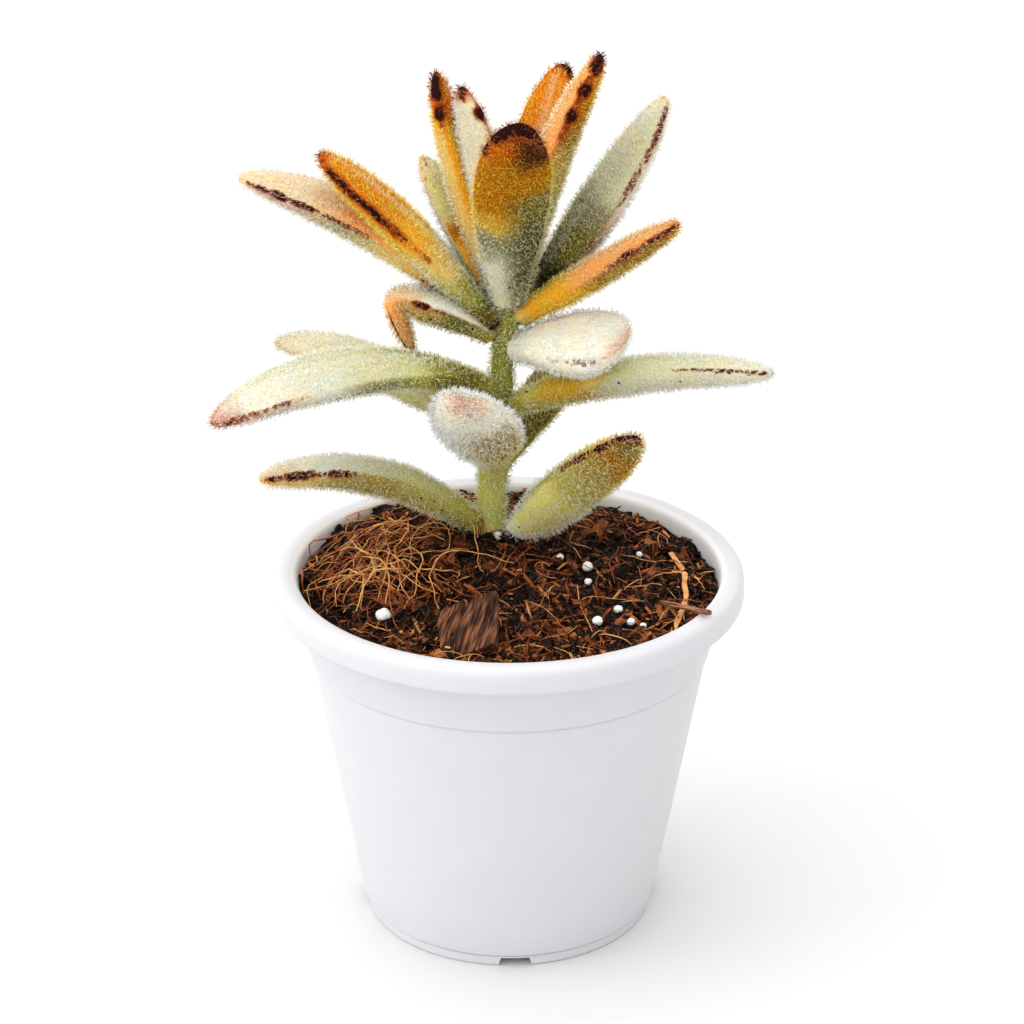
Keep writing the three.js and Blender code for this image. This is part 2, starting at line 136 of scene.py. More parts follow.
class Finish(Wiring):  # a material
    def __init__(self, name):
        self.material = bpy.data.materials.new(name)
        self.material.use_nodes = True
        super().__init__(self.material.node_tree)
        self.tree.nodes.clear()
        self.place = self.add("ShaderNodeTexCoord", output="Object")

    def attribute(self, name, output="Fac"):
        return self.add("ShaderNodeAttribute", {"attribute_name": name}, output=output)

    def stretched(self, scale, place=None):
        return self.add("ShaderNodeMapping", {}, {"Vector": place or self.place, "Scale": scale})

    def noise(self, size, detail=2, place=None):  # bumps of the given size in millimetres
        sockets = {"Vector": place or self.place, "Scale": 1 / (size * mm), "Detail": detail}
        return self.add("ShaderNodeTexNoise", {}, sockets)

    def mix(self, factor, first, second, how="MIX"):
        settings = {"data_type": "RGBA", "blend_type": how}
        return self.add("ShaderNodeMix", settings, {0: factor, 6: first, 7: second}, output=2)

    def stops(self, factor, *stops):
        return self.add("ShaderNodeValToRGB", {"stops": stops}, {"Fac": factor})

    def bump(self, height, deep, before=None):  # deep in millimetres
        sockets = {"Height": height, "Distance": deep * mm}
        if before:
            sockets["Normal"] = before
        return self.add("ShaderNodeBump", {}, sockets)

    def surface(self, colour, roughness, normal=None, **constant):
        sockets = {"Base Color": colour, "Roughness": roughness}
        if normal:
            sockets["Normal"] = normal
        sockets.update({name.replace("_", " "): value for name, value in constant.items()})
        shader = self.add("ShaderNodeBsdfPrincipled", {}, sockets)
        self.add("ShaderNodeOutputMaterial", {}, {"Surface": shader})
        return self.material


# Making of pieces


def inScene(item):
    bpy.context.scene.collection.objects.link(item)
    return item


def madeOf(bm, name, *materials, flatAngle=None):
    mesh = bpy.data.meshes.new(name)
    bm.to_mesh(mesh)
    bm.free()
    mesh.shade_smooth()
    if flatAngle:
        mesh.set_sharp_from_angle(angle=math.radians(flatAngle))
    for material in materials:
        mesh.materials.append(material)
    return inScene(bpy.data.objects.new(name, mesh))


def setAside(piece, shapes):  # out of the scene and into a collection of shapes to scatter
    bpy.context.scene.collection.objects.unlink(piece)
    shapes.objects.link(piece)


def clearAway(shapes):
    for shape in list(shapes.objects):
        bpy.data.objects.remove(shape)


def settle(piece):  # what its modifiers make becomes its mesh
    graph = bpy.context.evaluated_depsgraph_get()
    mesh = bpy.data.meshes.new_from_object(
        piece.evaluated_get(graph), preserve_all_data_layers=True, depsgraph=graph
    )
    if piece.type == "MESH":
        piece.modifiers.clear()
        piece.data = mesh
        return piece
    name = piece.name
    bpy.data.objects.remove(piece)
    return inScene(bpy.data.objects.new(name, mesh))


def faceOutward(bm):
    bm.normal_update()
    bmesh.ops.recalc_face_normals(bm, faces=bm.faces)


def handOver(piece, slot, *replaced):
    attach(piece, "root")
    if replaced:
        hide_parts(*replaced)
    return piece


def spinRound(profile, turns):  # the skin that a profile makes when it is turned about Z
    bm = bmesh.new()
    points = [bm.verts.new(point * mm) for point in profile]
    edges = [bm.edges.new(pair) for pair in zip(points, points[1:])]
    axis = {"cent": (0, 0, 0), "axis": (0, 0, 1), "angle": math.tau}
    bmesh.ops.spin(bm, geom=points + edges, steps=turns, use_merge=True, **axis)
    bmesh.ops.remove_doubles(bm, verts=bm.verts, dist=0.02 * mm)
    return bm


def layDown(bm, lie):  # from millimetres about the origin to its place
    bmesh.ops.transform(bm, matrix=Matrix.Scale(mm, 4) @ lie, verts=bm.verts)


def frameAlong(route, index):  # turns Z along the route at one of its points
    before, after = route[max(0, index - 1)], route[min(len(route) - 1, index + 1)]
    turn = (after - before).to_track_quat("Z", "Y")
    return Matrix.Translation(route[index]) @ turn.to_matrix().to_4x4()


def drawOut(bm, route, radii, sides, flat=1):  # a closed rod along a route of points
    def section(index):
        wide = radii[index] if isinstance(radii, list) else radii
        return frameAlong(route, index) @ Matrix.Diagonal((wide, wide * flat, 1, 1))

    made = bmesh.ops.create_circle(bm, cap_ends=False, segments=sides, radius=1, matrix=section(0))
    ring = made["verts"]
    edges = list(dict.fromkeys(edge for vert in ring for edge in vert.link_edges))
    ends = list(edges)
    for index in range(1, len(route)):
        made = bmesh.ops.extrude_edge_only(bm, edges=edges)["geom"]
        verts = [item for item in made if isinstance(item, bmesh.types.BMVert)]
        inRing = set(verts)
        move = section(index) @ section(index - 1).inverted()
        bmesh.ops.transform(bm, matrix=move, verts=verts)
        edges = [e for e in made if isinstance(e, bmesh.types.BMEdge) and inRing.issuperset(e.verts)]
    bmesh.ops.holes_fill(bm, edges=ends + edges, sides=0)
    faceOutward(bm)


def putInOrder(mesh):  # sorts its faces, so that what is scattered over them lands the same each run
    bm = bmesh.new()
    bm.from_mesh(mesh)
    rows = []
    for face in bm.faces:
        row = [vert.index for vert in face.verts]
        first = row.index(min(row))
        rows.append(row[first:] + row[:first])
    bmesh.ops.delete(bm, geom=bm.faces[:], context="FACES_ONLY")
    bm.verts.ensure_lookup_table()
    for row in sorted(rows):
        bm.faces.new([bm.verts[index] for index in row]).smooth = True
    bm.to_mesh(mesh)
    bm.free()


def scatter(piece, shapes, perSquareMm, size, seed, stand=1, comb=0, stray=0.2):
    # Shapes are set all over the piece. Each stands along a sum of the piece's normal, its "grow" attribute
    # and a stray direction, by the shares stand, comb and stray.
    putInOrder(piece.data)
    group = bpy.data.node_groups.new("scatter", "GeometryNodeTree")
    group.interface.new_socket("Geometry", in_out="INPUT", socket_type="NodeSocketGeometry")
    group.interface.new_socket("Geometry", in_out="OUTPUT", socket_type="NodeSocketGeometry")
    wiring = Wiring(group)
    skin = wiring.add("NodeGroupInput")

    def named(name, kind):
        return wiring.add("GeometryNodeInputNamedAttribute", {"data_type": kind}, {"Name": name})

    def chance(kind, low, high, draw, output):  # each draw has a seed of its own
        sockets = {"Seed": seed + draw}
        sockets.update({0: low, 1: high} if kind == "FLOAT_VECTOR" else {2: low, 3: high})
        return wiring.add("FunctionNodeRandomValue", {"data_type": kind}, sockets, output)

    density = named("spread", "FLOAT") * (perSquareMm / mm**2)
    sockets = {"Mesh": skin, "Density": density, "Seed": seed}
    points = wiring.add("GeometryNodeDistributePointsOnFaces", {}, sockets)
    normal = Signal(wiring, points.socket.node.outputs["Normal"])
    standing = wiring.vector("SCALE", normal, stand)
    combed = wiring.vector("SCALE", named("grow", "FLOAT_VECTOR"), comb)
    strayed = chance("FLOAT_VECTOR", (-stray,) * 3, (stray,) * 3, 1, 0)
    direction = wiring.vector("ADD", wiring.vector("ADD", standing, combed), strayed)
    aimed = wiring.add("FunctionNodeAlignRotationToVector", {"axis": "Z"}, {"Vector": direction})
    sockets = {"Axis": (0, 0, 1), "Angle": chance("FLOAT", 0, math.tau, 2, 1)}
    spin = wiring.add("FunctionNodeAxisAngleToRotation", {}, sockets)
    sockets = {"Rotation": aimed, "Rotate By": spin}
    turned = wiring.add("FunctionNodeRotateRotation", {"rotation_space": "LOCAL"}, sockets)
    settings = {"data_type": "FLOAT", "domain": "POINT"}
    sockets = {"Geometry": points, "Name": "chance", "Value": chance("FLOAT", 0, 1, 3, 1)}
    told = wiring.add("GeometryNodeStoreNamedAttribute", settings, sockets)
    kinds = wiring.add("GeometryNodeCollectionInfo", {}, {"Collection": shapes, "Separate Children": True})
    sockets = {"Points": told, "Instance": kinds, "Pick Instance": True, "Rotation": turned}
    sockets["Scale"] = chance("FLOAT", *size, 4, 1)
    placed = wiring.add("GeometryNodeInstanceOnPoints", {}, sockets)
    real = wiring.add("GeometryNodeRealizeInstances", {}, {"Geometry": placed})
    both = wiring.add("GeometryNodeJoinGeometry", {}, {"Geometry": real})
    group.links.new(skin.socket, both.socket.node.inputs["Geometry"])
    wiring.add("NodeGroupOutput", {}, {0: both})
    piece.modifiers.new("scatter", "NODES").node_group = group
    return settle(piece)


# Camera, light and floor

studio = {
    "aim": (0.69, 0, 97), "distance": 700, "elevation": 23.8, "lens": 111.13, "sensor": 36,
    "sky": 0.8, "skySlope": (-0.4, 0.02, 1.05), "keyStrength": 4,  # brighter from the left and from above
    "floorTones": (tone(219, 219, 219), tone(222, 222, 222)), "floorMottle": 400,
    # in metres
    "nearest": 0.01, "keyPlace": (-1.15, -0.3, 1.15), "keyAim": (0, 0, 0.08), "keySize": 0.8, "floorReach": 6,
}
camera = inScene(bpy.data.objects.new("camera", bpy.data.cameras.new("camera")))
bpy.context.scene.camera = camera
above = math.radians(studio["elevation"])
back = Vector((0, -math.cos(above), math.sin(above))) * studio["distance"]
camera.location = (Vector(studio["aim"]) + back) * mm
camera.rotation_euler = (math.pi / 2 - above, 0, 0)
camera.data.lens = studio["lens"]
camera.data.sensor_width = studio["sensor"]
camera.data.clip_start = studio["nearest"]
bpy.context.scene.view_settings.view_transform = "Standard"

world = bpy.data.worlds.new("studio")
bpy.context.scene.world = world
world.use_nodes = True
sky = Wiring(world.node_tree)
background = world.node_tree.nodes["Background"]
facing = sky.add("ShaderNodeTexCoord", output="Generated")
strength = sky.vector("DOT_PRODUCT", facing, studio["skySlope"], "Value") + studio["sky"]
world.node_tree.links.new(strength.socket, background.inputs["Strength"])
background.inputs["Color"].default_value = (1, 1, 1, 1)

keyLight = bpy.data.lights.new("keyLight", "AREA")
keyLight.size, keyLight.energy = studio["keySize"], studio["keyStrength"]
lamp = inScene(bpy.data.objects.new("keyLight", keyLight))
lamp.location = studio["keyPlace"]
lamp.rotation_euler = (Vector(studio["keyAim"]) - lamp.location).to_track_quat("-Z", "Y").to_euler()

bm = bmesh.new()
bmesh.ops.create_grid(bm, x_segments=2, y_segments=2, size=studio["floorReach"])
paper = Finish("paper")
mottled = paper.mix(paper.noise(studio["floorMottle"]), *studio["floorTones"])
floor = madeOf(bm, "floor", paper.surface(mottled, 0.9))
print("camera, light and floor made")


# Pot

pot = {
    "height": 84, "rimRadius": 52.5, "rimDrop": 6.2, "lipRadius": 47.2,
    "collarTopRadius": 48.1, "collarFootRadius": 45.2, "collarFootHeight": 65.8, "collarStep": 0.6,
    "heelRadius": 34.1, "heelHeight": 7, "footRadius": 32.6, "footHeight": 2.4,
    "groove": 0.4, "wall": 1.3, "floor": 1.6, "turns": 168,
    "channels": 4, "channelHeight": 2.1, "channelWidth": 6.4, "channelSpread": 8.2, "channelTurn": 2.5,
    "ribWidth": 11, "ribLength": 18, "ribHeight": 3.7, "ribReach": 31.5,
    "drainRadius": 2.4, "drainCircle": 22, "drainSides": 28, "flatAngle": 38,
}


def rounded(corners, steps=5):  # a path through corners (x, z, ease), each corner rounded over its ease
    path = []
    places = [Vector((x, 0, z)) for x, z, ease in corners]
    for index, here in enumerate(places):
        ease = corners[index][2]
        if not ease or index in (0, len(corners) - 1):
            path.append(here)
            continue
        start, end = (
            here + (other - here).normalized() * min(ease, (other - here).length * 0.49)
            for other in (places[index - 1], places[index + 1])
        )
        for step in range(steps + 1):
            share = step / steps
            path.append(start * (1 - share) ** 2 + here * 2 * share * (1 - share) + end * share**2)
    return path


def potSection():  # from the middle of the underside, up the outside, over the rim and down the inside
    p = pot
    rimFoot = p["height"] - p["rimDrop"]
    return rounded([
        (0, 0, 0),
        (p["footRadius"], 0, 0.7),
        (p["footRadius"] + 0.05, p["footHeight"], 0.25),
        (p["footRadius"] - p["groove"], p["footHeight"] + 0.15, 0.1),
        (p["footRadius"] + 0.75, p["footHeight"] + 0.6, 0.5),
        (p["heelRadius"] + 0.35, p["heelHeight"] + 0.8, 4.4),
        (p["collarFootRadius"] - p["collarStep"], p["collarFootHeight"] - 0.9, 0.4),
        (p["collarFootRadius"] - p["collarStep"] - p["groove"] * 0.6, p["collarFootHeight"] - 0.3, 0.15),
        (p["collarFootRadius"], p["collarFootHeight"], 0.25),
        (p["collarTopRadius"], rimFoot + 0.2, 1.1),
        (p["rimRadius"], rimFoot, 1.1),
        (p["rimRadius"], p["height"], 2.7),
        (p["lipRadius"], p["height"], 2.2),
        (p["collarTopRadius"] - p["wall"], rimFoot, 2),
        (p["collarFootRadius"] - p["wall"], p["collarFootHeight"] - 1, 2),
        (p["heelRadius"] - p["wall"], p["heelHeight"] + 1, 3),
        (p["heelRadius"] - p["wall"] - 1.2, p["floor"], 1.5),
        (0, p["floor"], 0),
    ])


def aroundPot(makeOne):  # one cutter or rib at each channel
    bm = bmesh.new()
    for index in range(pot["channels"]):
        angle = index * math.tau / pot["channels"] + math.radians(pot["channelTurn"])
        turn = Matrix.Rotation(angle, 4, "Z")
        bmesh.ops.transform(bm, matrix=turn @ Matrix.Scale(mm, 4), verts=makeOne(bm))
    return madeOf(bm, "cutter")


def makeRib(bm):
    size = (pot["ribWidth"], pot["ribLength"], pot["ribHeight"])
    middle = (0, size[1] / 2 - pot["ribReach"], size[2] / 2)
    lie = Matrix.Translation(middle) @ Matrix.Diagonal((*size, 1))
    return bmesh.ops.create_cube(bm, size=1, matrix=lie)["verts"]


def makeChannel(bm):
    length = pot["footRadius"] + 3 - pot["drainCircle"] + pot["drainRadius"]
    middle = (0, -pot["drainCircle"] + pot["drainRadius"] - length / 2, pot["channelHeight"] / 2 - 0.5)
    size = (pot["channelWidth"], length, pot["channelHeight"] + 1)
    lie = Matrix.Translation(middle) @ Matrix.Diagonal((*size, 1))
    verts = bmesh.ops.create_cube(bm, size=1, matrix=lie)["verts"]
    for vert in verts:
        if vert.co.z < 0:
            vert.co.x *= pot["channelSpread"] / pot["channelWidth"]
    return verts


def makeDrain(bm):  # it begins just below the top of the channel and comes out above the floor
    lie = Matrix.Translation((0, -pot["drainCircle"], pot["channelHeight"] + 4.5))
    shape = {"segments": pot["drainSides"], "radius1": pot["drainRadius"], "radius2": pot["drainRadius"]}
    return bmesh.ops.create_cone(bm, cap_ends=True, depth=10, matrix=lie, **shape)["verts"]


def makePlasticFinish():
    plastic = Finish("potPlastic")
    grain = plastic.noise(0.7, 3)
    drawn = plastic.noise(9, 2)  # slow waves that moulding leaves in a thin wall
    scuffs = plastic.noise(2.5, 6, plastic.stretched((1, 1, 0.25))).between(0.62, 0.78)
    colour = plastic.mix(drawn, tone(209, 209, 213), tone(214, 214, 217))
    colour = plastic.mix(scuffs * 0.1, colour, tone(205, 205, 203))
    level = plastic.add("ShaderNodeSeparateXYZ", {}, {"Vector": plastic.place}, output=2)
    flat = plastic.vector("MULTIPLY", plastic.place, (1, 1, 0))
    fromAxis = plastic.add("ShaderNodeVectorMath", {"operation": "LENGTH"}, {0: flat}, output=1)
    inside = level.between(77.8 * mm, 78.2 * mm) * (1 - fromAxis.between(47.4 * mm, 49 * mm))
    colour = plastic.mix(inside, colour, tone(248, 248, 250))  # painted light: the inner wall above the mix is coloured lighter, in place of light that comes through the thin wall
    normal = plastic.bump(grain, 0.012, plastic.bump(drawn, 0.06))
    return plastic.surface(
        colour, 0.3 + scuffs * 0.12 + grain * 0.08, normal,
        Subsurface_Weight=0.06, Subsurface_Radius=(0.002, 0.002, 0.002), Specular_IOR_Level=0.4,
    )


def makePot():
    bm = spinRound(potSection(), pot["turns"])
    faceOutward(bm)
    piece = madeOf(bm, "pot_fine", makePlasticFinish())
    cutters = []
    for makeOne, operation in ((makeRib, "UNION"), (makeChannel, "DIFFERENCE"), (makeDrain, "DIFFERENCE")):
        cutter = aroundPot(makeOne)
        cutting = piece.modifiers.new("cutting", "BOOLEAN")
        cutting.operation, cutting.object, cutting.solver = operation, cutter, "EXACT"
        cutters.append(cutter)
    settle(piece)
    for cutter in cutters:
        bpy.data.objects.remove(cutter)
    piece.data.set_sharp_from_angle(angle=math.radians(pot["flatAngle"]))
    return handOver(piece, "pot_plastic", "pot")


makePot()
print("pot made")


# Skin and hairs

markTones = {
    "rustSkin": tone(150, 62, 6), "mauveSkin": tone(108, 56, 38), "brownSkin": tone(38, 12, 5),
    "rustHair": tone(204, 98, 28), "mauveHair": tone(216, 176, 160), "brownHair": tone(60, 20, 8),
    "warm": tone(255, 251, 242), "cool": tone(246, 252, 255), "bleached": tone(255, 253, 246),
    "shade": tone(244, 242, 228),
}


def leafColour(finish, felt, kind, stray):  # felt with its wander and with the brown marks over it
    wander = finish.noise(5, 3).between(0.3, 0.7)
    tint = finish.mix(wander, markTones["warm"], markTones["cool"])
    felt = finish.mix(1, felt, tint, "MULTIPLY")
    speckle = finish.noise(0.9, 2) - 0.5
    warm = finish.attribute("warm")
    brown = finish.attribute("brown") * (1 + (wander - 0.5) * 0.4 + speckle * 2.4 + stray * 0.8)
    if kind == "Hair":  # on a pale leaf, pale hairs stand in front of the brown
        brown = brown * (0.55 + warm * 0.45)
    edge = finish.mix(warm, markTones["mauve" + kind], markTones["rust" + kind])
    felt = finish.mix(brown.between(0.2, 0.5), felt, edge)
    return finish.mix(brown.between(0.5, 0.8), felt, markTones["brown" + kind])


def makeLeafSkinFinish():
    skin = Finish("leafSkin")
    felt = skin.attribute("felt", "Color")
    down = skin.noise(0.4, 3)  # the short felt below the long hairs
    deep = skin.mix(1, skin.mix(0.9, felt, felt, "MULTIPLY"), markTones["shade"], "MULTIPLY")
    felt = skin.mix(down.between(0.45, 0.8), deep, felt)
    colour = leafColour(skin, felt, "Skin", down * 0.8 - 0.4)
    return skin.surface(colour, 0.85, skin.bump(down, 0.3), Specular_IOR_Level=0.1)


def makeLeafHairFinish():
    hair = Finish("leafHair")
    chance = hair.attribute("chance")
    felt = hair.attribute("felt", "Color")
    red, green = (hair.add("ShaderNodeSeparateColor", {}, {"Color": felt}, part) for part in (0, 1))
    plain = (1 - (red - green).between(0.02, 0.3)) * green.between(0, 0.3)
    felt = hair.mix(1, felt, felt, "SCREEN")
    felt = hair.mix(chance.between(0.2, 0.9) * 0.9, felt, felt, "SCREEN")
    felt = hair.mix((1 - chance).between(0.5, 0.8) * plain * 0.75, felt, markTones["bleached"])
    colour = leafColour(hair, felt, "Hair", chance - 0.5)
    return hair.surface(colour, 0.6, Specular_IOR_Level=0.12)


leafSkin = makeLeafSkinFinish()
leafHair = makeLeafHairFinish()

hairs = {
    "length": 1.6, "radius": 0.078, "bend": 0.55, "bends": (0.5, 1, 1.5), "rooted": 0.08,  # below the skin
    "perSquareMm": 3.3, "lie": {"stand": 0.8, "comb": 0.45, "stray": 0.85},
}


def makeHairShapes():
    shapes = bpy.data.collections.new("hairShapes")
    for index, bend in enumerate(hairs["bends"]):
        bm = bmesh.new()
        bmesh.ops.create_uvsphere(bm, u_segments=3, v_segments=2, radius=1)
        for vert in bm.verts:
            along = (vert.co.z + 1) / 2
            sideways = hairs["bend"] * bend * along**2
            wide = hairs["radius"]
            tall = hairs["length"] * (along - hairs["rooted"])
            vert.co = Vector((vert.co.x * wide + sideways, vert.co.y * wide, tall)) * mm
        setAside(madeOf(bm, f"hair{index}", leafHair), shapes)
    return shapes


hairShapes = makeHairShapes()
fieldNames = ("spread", "brown", "warm")


def setFields(bm, given):  # attribute layers of the vertices
    layers = {name: bm.verts.layers.float.new(name) for name in given}
    for name in ("grow", "felt"):
        layers[name] = bm.verts.layers.float_vector.new(name)
    return layers


def coverInHair(piece, seed, size):
    return scatter(piece, hairShapes, hairs["perSquareMm"], size, seed, **hairs["lie"])


# Stem

stem = {
    "foot": Vector((-4.6, 16, 86)), "lean": Vector((0.078, 0, 1)), "height": 59, "buried": 24,
    "radii": [(-24, 1.4), (-4, 3.3), (12, 3.3), (36, 2.75), (56, 2.2), (59, 0.9)], "inset": 0.3,
    "rings": 110, "sides": 26, "swell": 0.35, "swellReach": 1.6, "mostSwell": 0.5,  # it swells at each leaf
    "waves": 0.12, "waveSize": 2.5, "hair": (0.8, 1.5), "spread": 0.75, "bareBelow": -3,
    "fresh": tone(236, 232, 152), "shaded": tone(192, 190, 110), "shadedFrom": 4, "shadedTo": 34,
}


def stemAt(height):
    return stem["foot"] + stem["lean"] * height


def stemRadius(height):
    rows = stem["radii"]
    for (low, first), (high, second) in zip(rows, rows[1:]):
        if height <= high:
            return first + (second - first) * (height - low) / (high - low)
    return rows[-1][1]


def makeStem(forms):
    bm = bmesh.new()
    whole = stem["buried"] + stem["height"]
    heights = [-stem["buried"] + whole * step / stem["rings"] for step in range(stem["rings"] + 1)]
    radii = []
    for height in heights:
        near = [(height - form["height"]) / stem["swellReach"] for form in forms.values()]
        swell = sum(stem["swell"] * math.exp(-(away**2)) for away in near)
        radii.append((stemRadius(height) - stem["inset"] + min(swell, stem["mostSwell"])) * mm)
    drawOut(bm, [stemAt(height) * mm for height in heights], radii, stem["sides"])
    layers = setFields(bm, fieldNames)
    fresh, shaded = Vector(stem["fresh"][:3]), Vector(stem["shaded"][:3])
    for vert in bm.verts:
        height = vert.co.z / mm - stem["foot"].z
        vert.co += vert.normal * ripple(vert.co / mm, stem["waveSize"], 3) * stem["waves"] * mm
        vert[layers["grow"]] = up
        vert[layers["spread"]] = stem["spread"] if height > stem["bareBelow"] else 0
        vert[layers["felt"]] = fresh.lerp(shaded, smooth(stem["shadedFrom"], stem["shadedTo"], height))
    piece = madeOf(bm, "stem_fine", leafSkin)
    coverInHair(piece, 3, stem["hair"])
    return handOver(piece, "stem", "stem")


# Leaves
# azimuth turns from +X towards +Y. rise is the midrib's angle above the horizon, at the stem and at the tip.
# height is up the stem, sway turns the leaf sideways along its length and roll tips its upper face.

leafDefaults = {
    "sway": 0, "roll": 0, "narrow": 0.36, "broadest": 0.55, "blunt": 1.1, "start": 2.2, "fold": None,
    "slot": "leaf_felt", "hair": (0.6, 1.15),  # hair is how long the hairs are, shortest and longest
}
leafForms = {
    "leaf_low_left": {
        "azimuth": 195, "height": 0.5, "length": 57.5, "width": 14.5, "thick": 8.6, "rise": (49, -8),
        "sway": 10, "roll": 13, "narrow": 0.5,
    },
    "leaf_low_right": {
        "azimuth": -25, "height": 1, "length": 40, "width": 18.6, "thick": 9.4, "rise": (49, 41),
        "sway": -4, "roll": -28, "narrow": 0.7, "broadest": 0.5, "start": 8.5, "hair": (0.65, 1.3),
    },
    "leaf_mid_back_right": {
        "azimuth": 51, "height": 14.5, "length": 45, "width": 13.5, "thick": 6.4, "rise": (45, 14),
    },
    "leaf_mid_back_left": {
        "azimuth": 160, "height": 23, "length": 56.5, "width": 14.5, "thick": 8, "rise": (36, -6),
        "sway": -8, "blunt": 0.8,
    },
    "leaf_mid_front": {
        "azimuth": -103, "height": 20.5, "length": 36, "width": 20, "thick": 11.6, "rise": (39, 38),
        "roll": -9, "narrow": 0.4, "hair": (0.85, 1.5),
    },
    "leaf_mid_right": {
        "azimuth": -11, "height": 30.5, "length": 61.5, "width": 17, "thick": 8.4, "rise": (27, -4),
        "sway": -2, "roll": -16, "narrow": 0.4,
    },
    "leaf_mid_left": {
        "azimuth": 212, "height": 35, "length": 71.5, "width": 21.5, "thick": 7.5, "rise": (32, -25),
        "sway": -6,
    },
    "leaf_collar_front": {
        "azimuth": -30, "height": 44.5, "length": 28.6, "width": 20.5, "thick": 10, "rise": (22, -1),
        "roll": 20, "broadest": 0.74, "blunt": 0.8,
    },
    "leaf_collar_left": {
        "azimuth": 187, "height": 47, "length": 39, "width": 14.5, "thick": 7.8, "rise": (37, 2), "roll": 9,
        "narrow": 0.42, "fold": (0.63, 118, 0.32),
    },
    "leaf_outer_back": {
        "azimuth": 92, "height": 46, "length": 41, "width": 14, "thick": 7, "rise": (46, 26),
    },
    "leaf_outer_left": {
        "azimuth": 169, "height": 50, "length": 66.5, "width": 17.8, "thick": 9, "rise": (48, 8), "sway": 4,
    },
    "leaf_outer_upper_left": {
        "azimuth": 188, "height": 49, "length": 55.5, "width": 20.5, "thick": 7.2, "rise": (56, 34),
        "sway": -25, "roll": 4, "slot": "leaf_bronze",
    },
    "leaf_outer_right": {
        "azimuth": 24, "height": 49.5, "length": 60, "width": 18, "thick": 7.9, "rise": (49, 56),
        "roll": -4,
    },
    "leaf_outer_low_right": {
        "azimuth": -7, "height": 51, "length": 43, "width": 15, "thick": 7.2, "rise": (36, 31), "roll": -17,
        "narrow": 0.42, "slot": "leaf_bronze",
    },
    "leaf_inner_front": {
        "azimuth": -87, "height": 54.5, "length": 53.5, "width": 17, "thick": 7.6, "rise": (77, 54),
        "sway": 5, "narrow": 0.42, "broadest": 0.62, "slot": "leaf_bronze",
    },
    "leaf_inner_back_left": {
        "azimuth": 143, "height": 53, "length": 38, "width": 11.8, "thick": 6.4, "rise": (66, 46),
        "sway": 4, "slot": "leaf_bronze",
    },
    "leaf_inner_left": {
        "azimuth": 148, "height": 55.5, "length": 51.5, "width": 14.3, "thick": 6.9, "rise": (70, 72),
        "sway": -5, "roll": 24, "slot": "leaf_bronze",
    },
    "leaf_inner_right": {
        "azimuth": 20, "height": 56, "length": 57, "width": 15, "thick": 8.2, "rise": (85, 54), "sway": 2,
        "roll": -22, "slot": "leaf_bronze",
    },
    "leaf_inner_centre": {
        "azimuth": 170, "height": 51, "length": 53, "width": 17.5, "thick": 7, "rise": (92, 71),
        "sway": -12, "roll": 50, "slot": "leaf_bronze",
    },
    "leaf_inner_back": {
        "azimuth": 63, "height": 58, "length": 50.5, "width": 14.8, "thick": 6.5, "rise": (70, 55),
        "sway": -3, "slot": "leaf_bronze",
    },
    "bud_leaf_left": {
        "azimuth": 215, "height": 58, "length": 19, "width": 6.2, "thick": 3.4, "rise": (86, 82),
        "start": 3,
    },
    "bud_leaf_right": {
        "azimuth": 35, "height": 59, "length": 16, "width": 5.6, "thick": 3.2, "rise": (86, 83),
        "start": 2.8,
    },
}

# Colours of the felt. They are brighter than the leaf looks, as the hairs shade one another.
feltTones = {
    "snow": tone(255, 253, 248), "white": tone(249, 246, 236), "pale": tone(240, 236, 216),
    "mint": tone(232, 231, 204), "mist": tone(238, 236, 224), "sage": tone(180, 176, 140),
    "moss": tone(156, 150, 80), "silver": tone(132, 129, 86), "fresh": tone(232, 230, 182),
    # paintedLitLime is a lime brighter than any felt, used as painted light on a face that lies in shade
    "lime": tone(220, 213, 134), "paintedLitLime": tone(250, 244, 172), "leaf": tone(192, 188, 104),
    # deep is partly the greener felt at a leaf's base and partly painted shade, where the leaves crowd at the
    # stem
    "olive": tone(154, 142, 66), "deep": tone(64, 61, 16), "khaki": tone(208, 188, 116),
    "grey": tone(210, 198, 164), "beige": tone(228, 214, 188), "cream": tone(246, 228, 200),
    "straw": tone(246, 222, 150), "peach": tone(254, 200, 136), "tan": tone(232, 190, 122),
    "mustard": tone(230, 200, 88), "gold": tone(252, 204, 72), "amber": tone(236, 168, 44),
    "orange": tone(220, 130, 26), "ochre": tone(208, 152, 26), "bronze": tone(192, 152, 68),
    "umber": tone(104, 57, 8), "blush": tone(240, 212, 196), "rose": tone(226, 194, 180),
    "edge": tone(212, 106, 14),
}

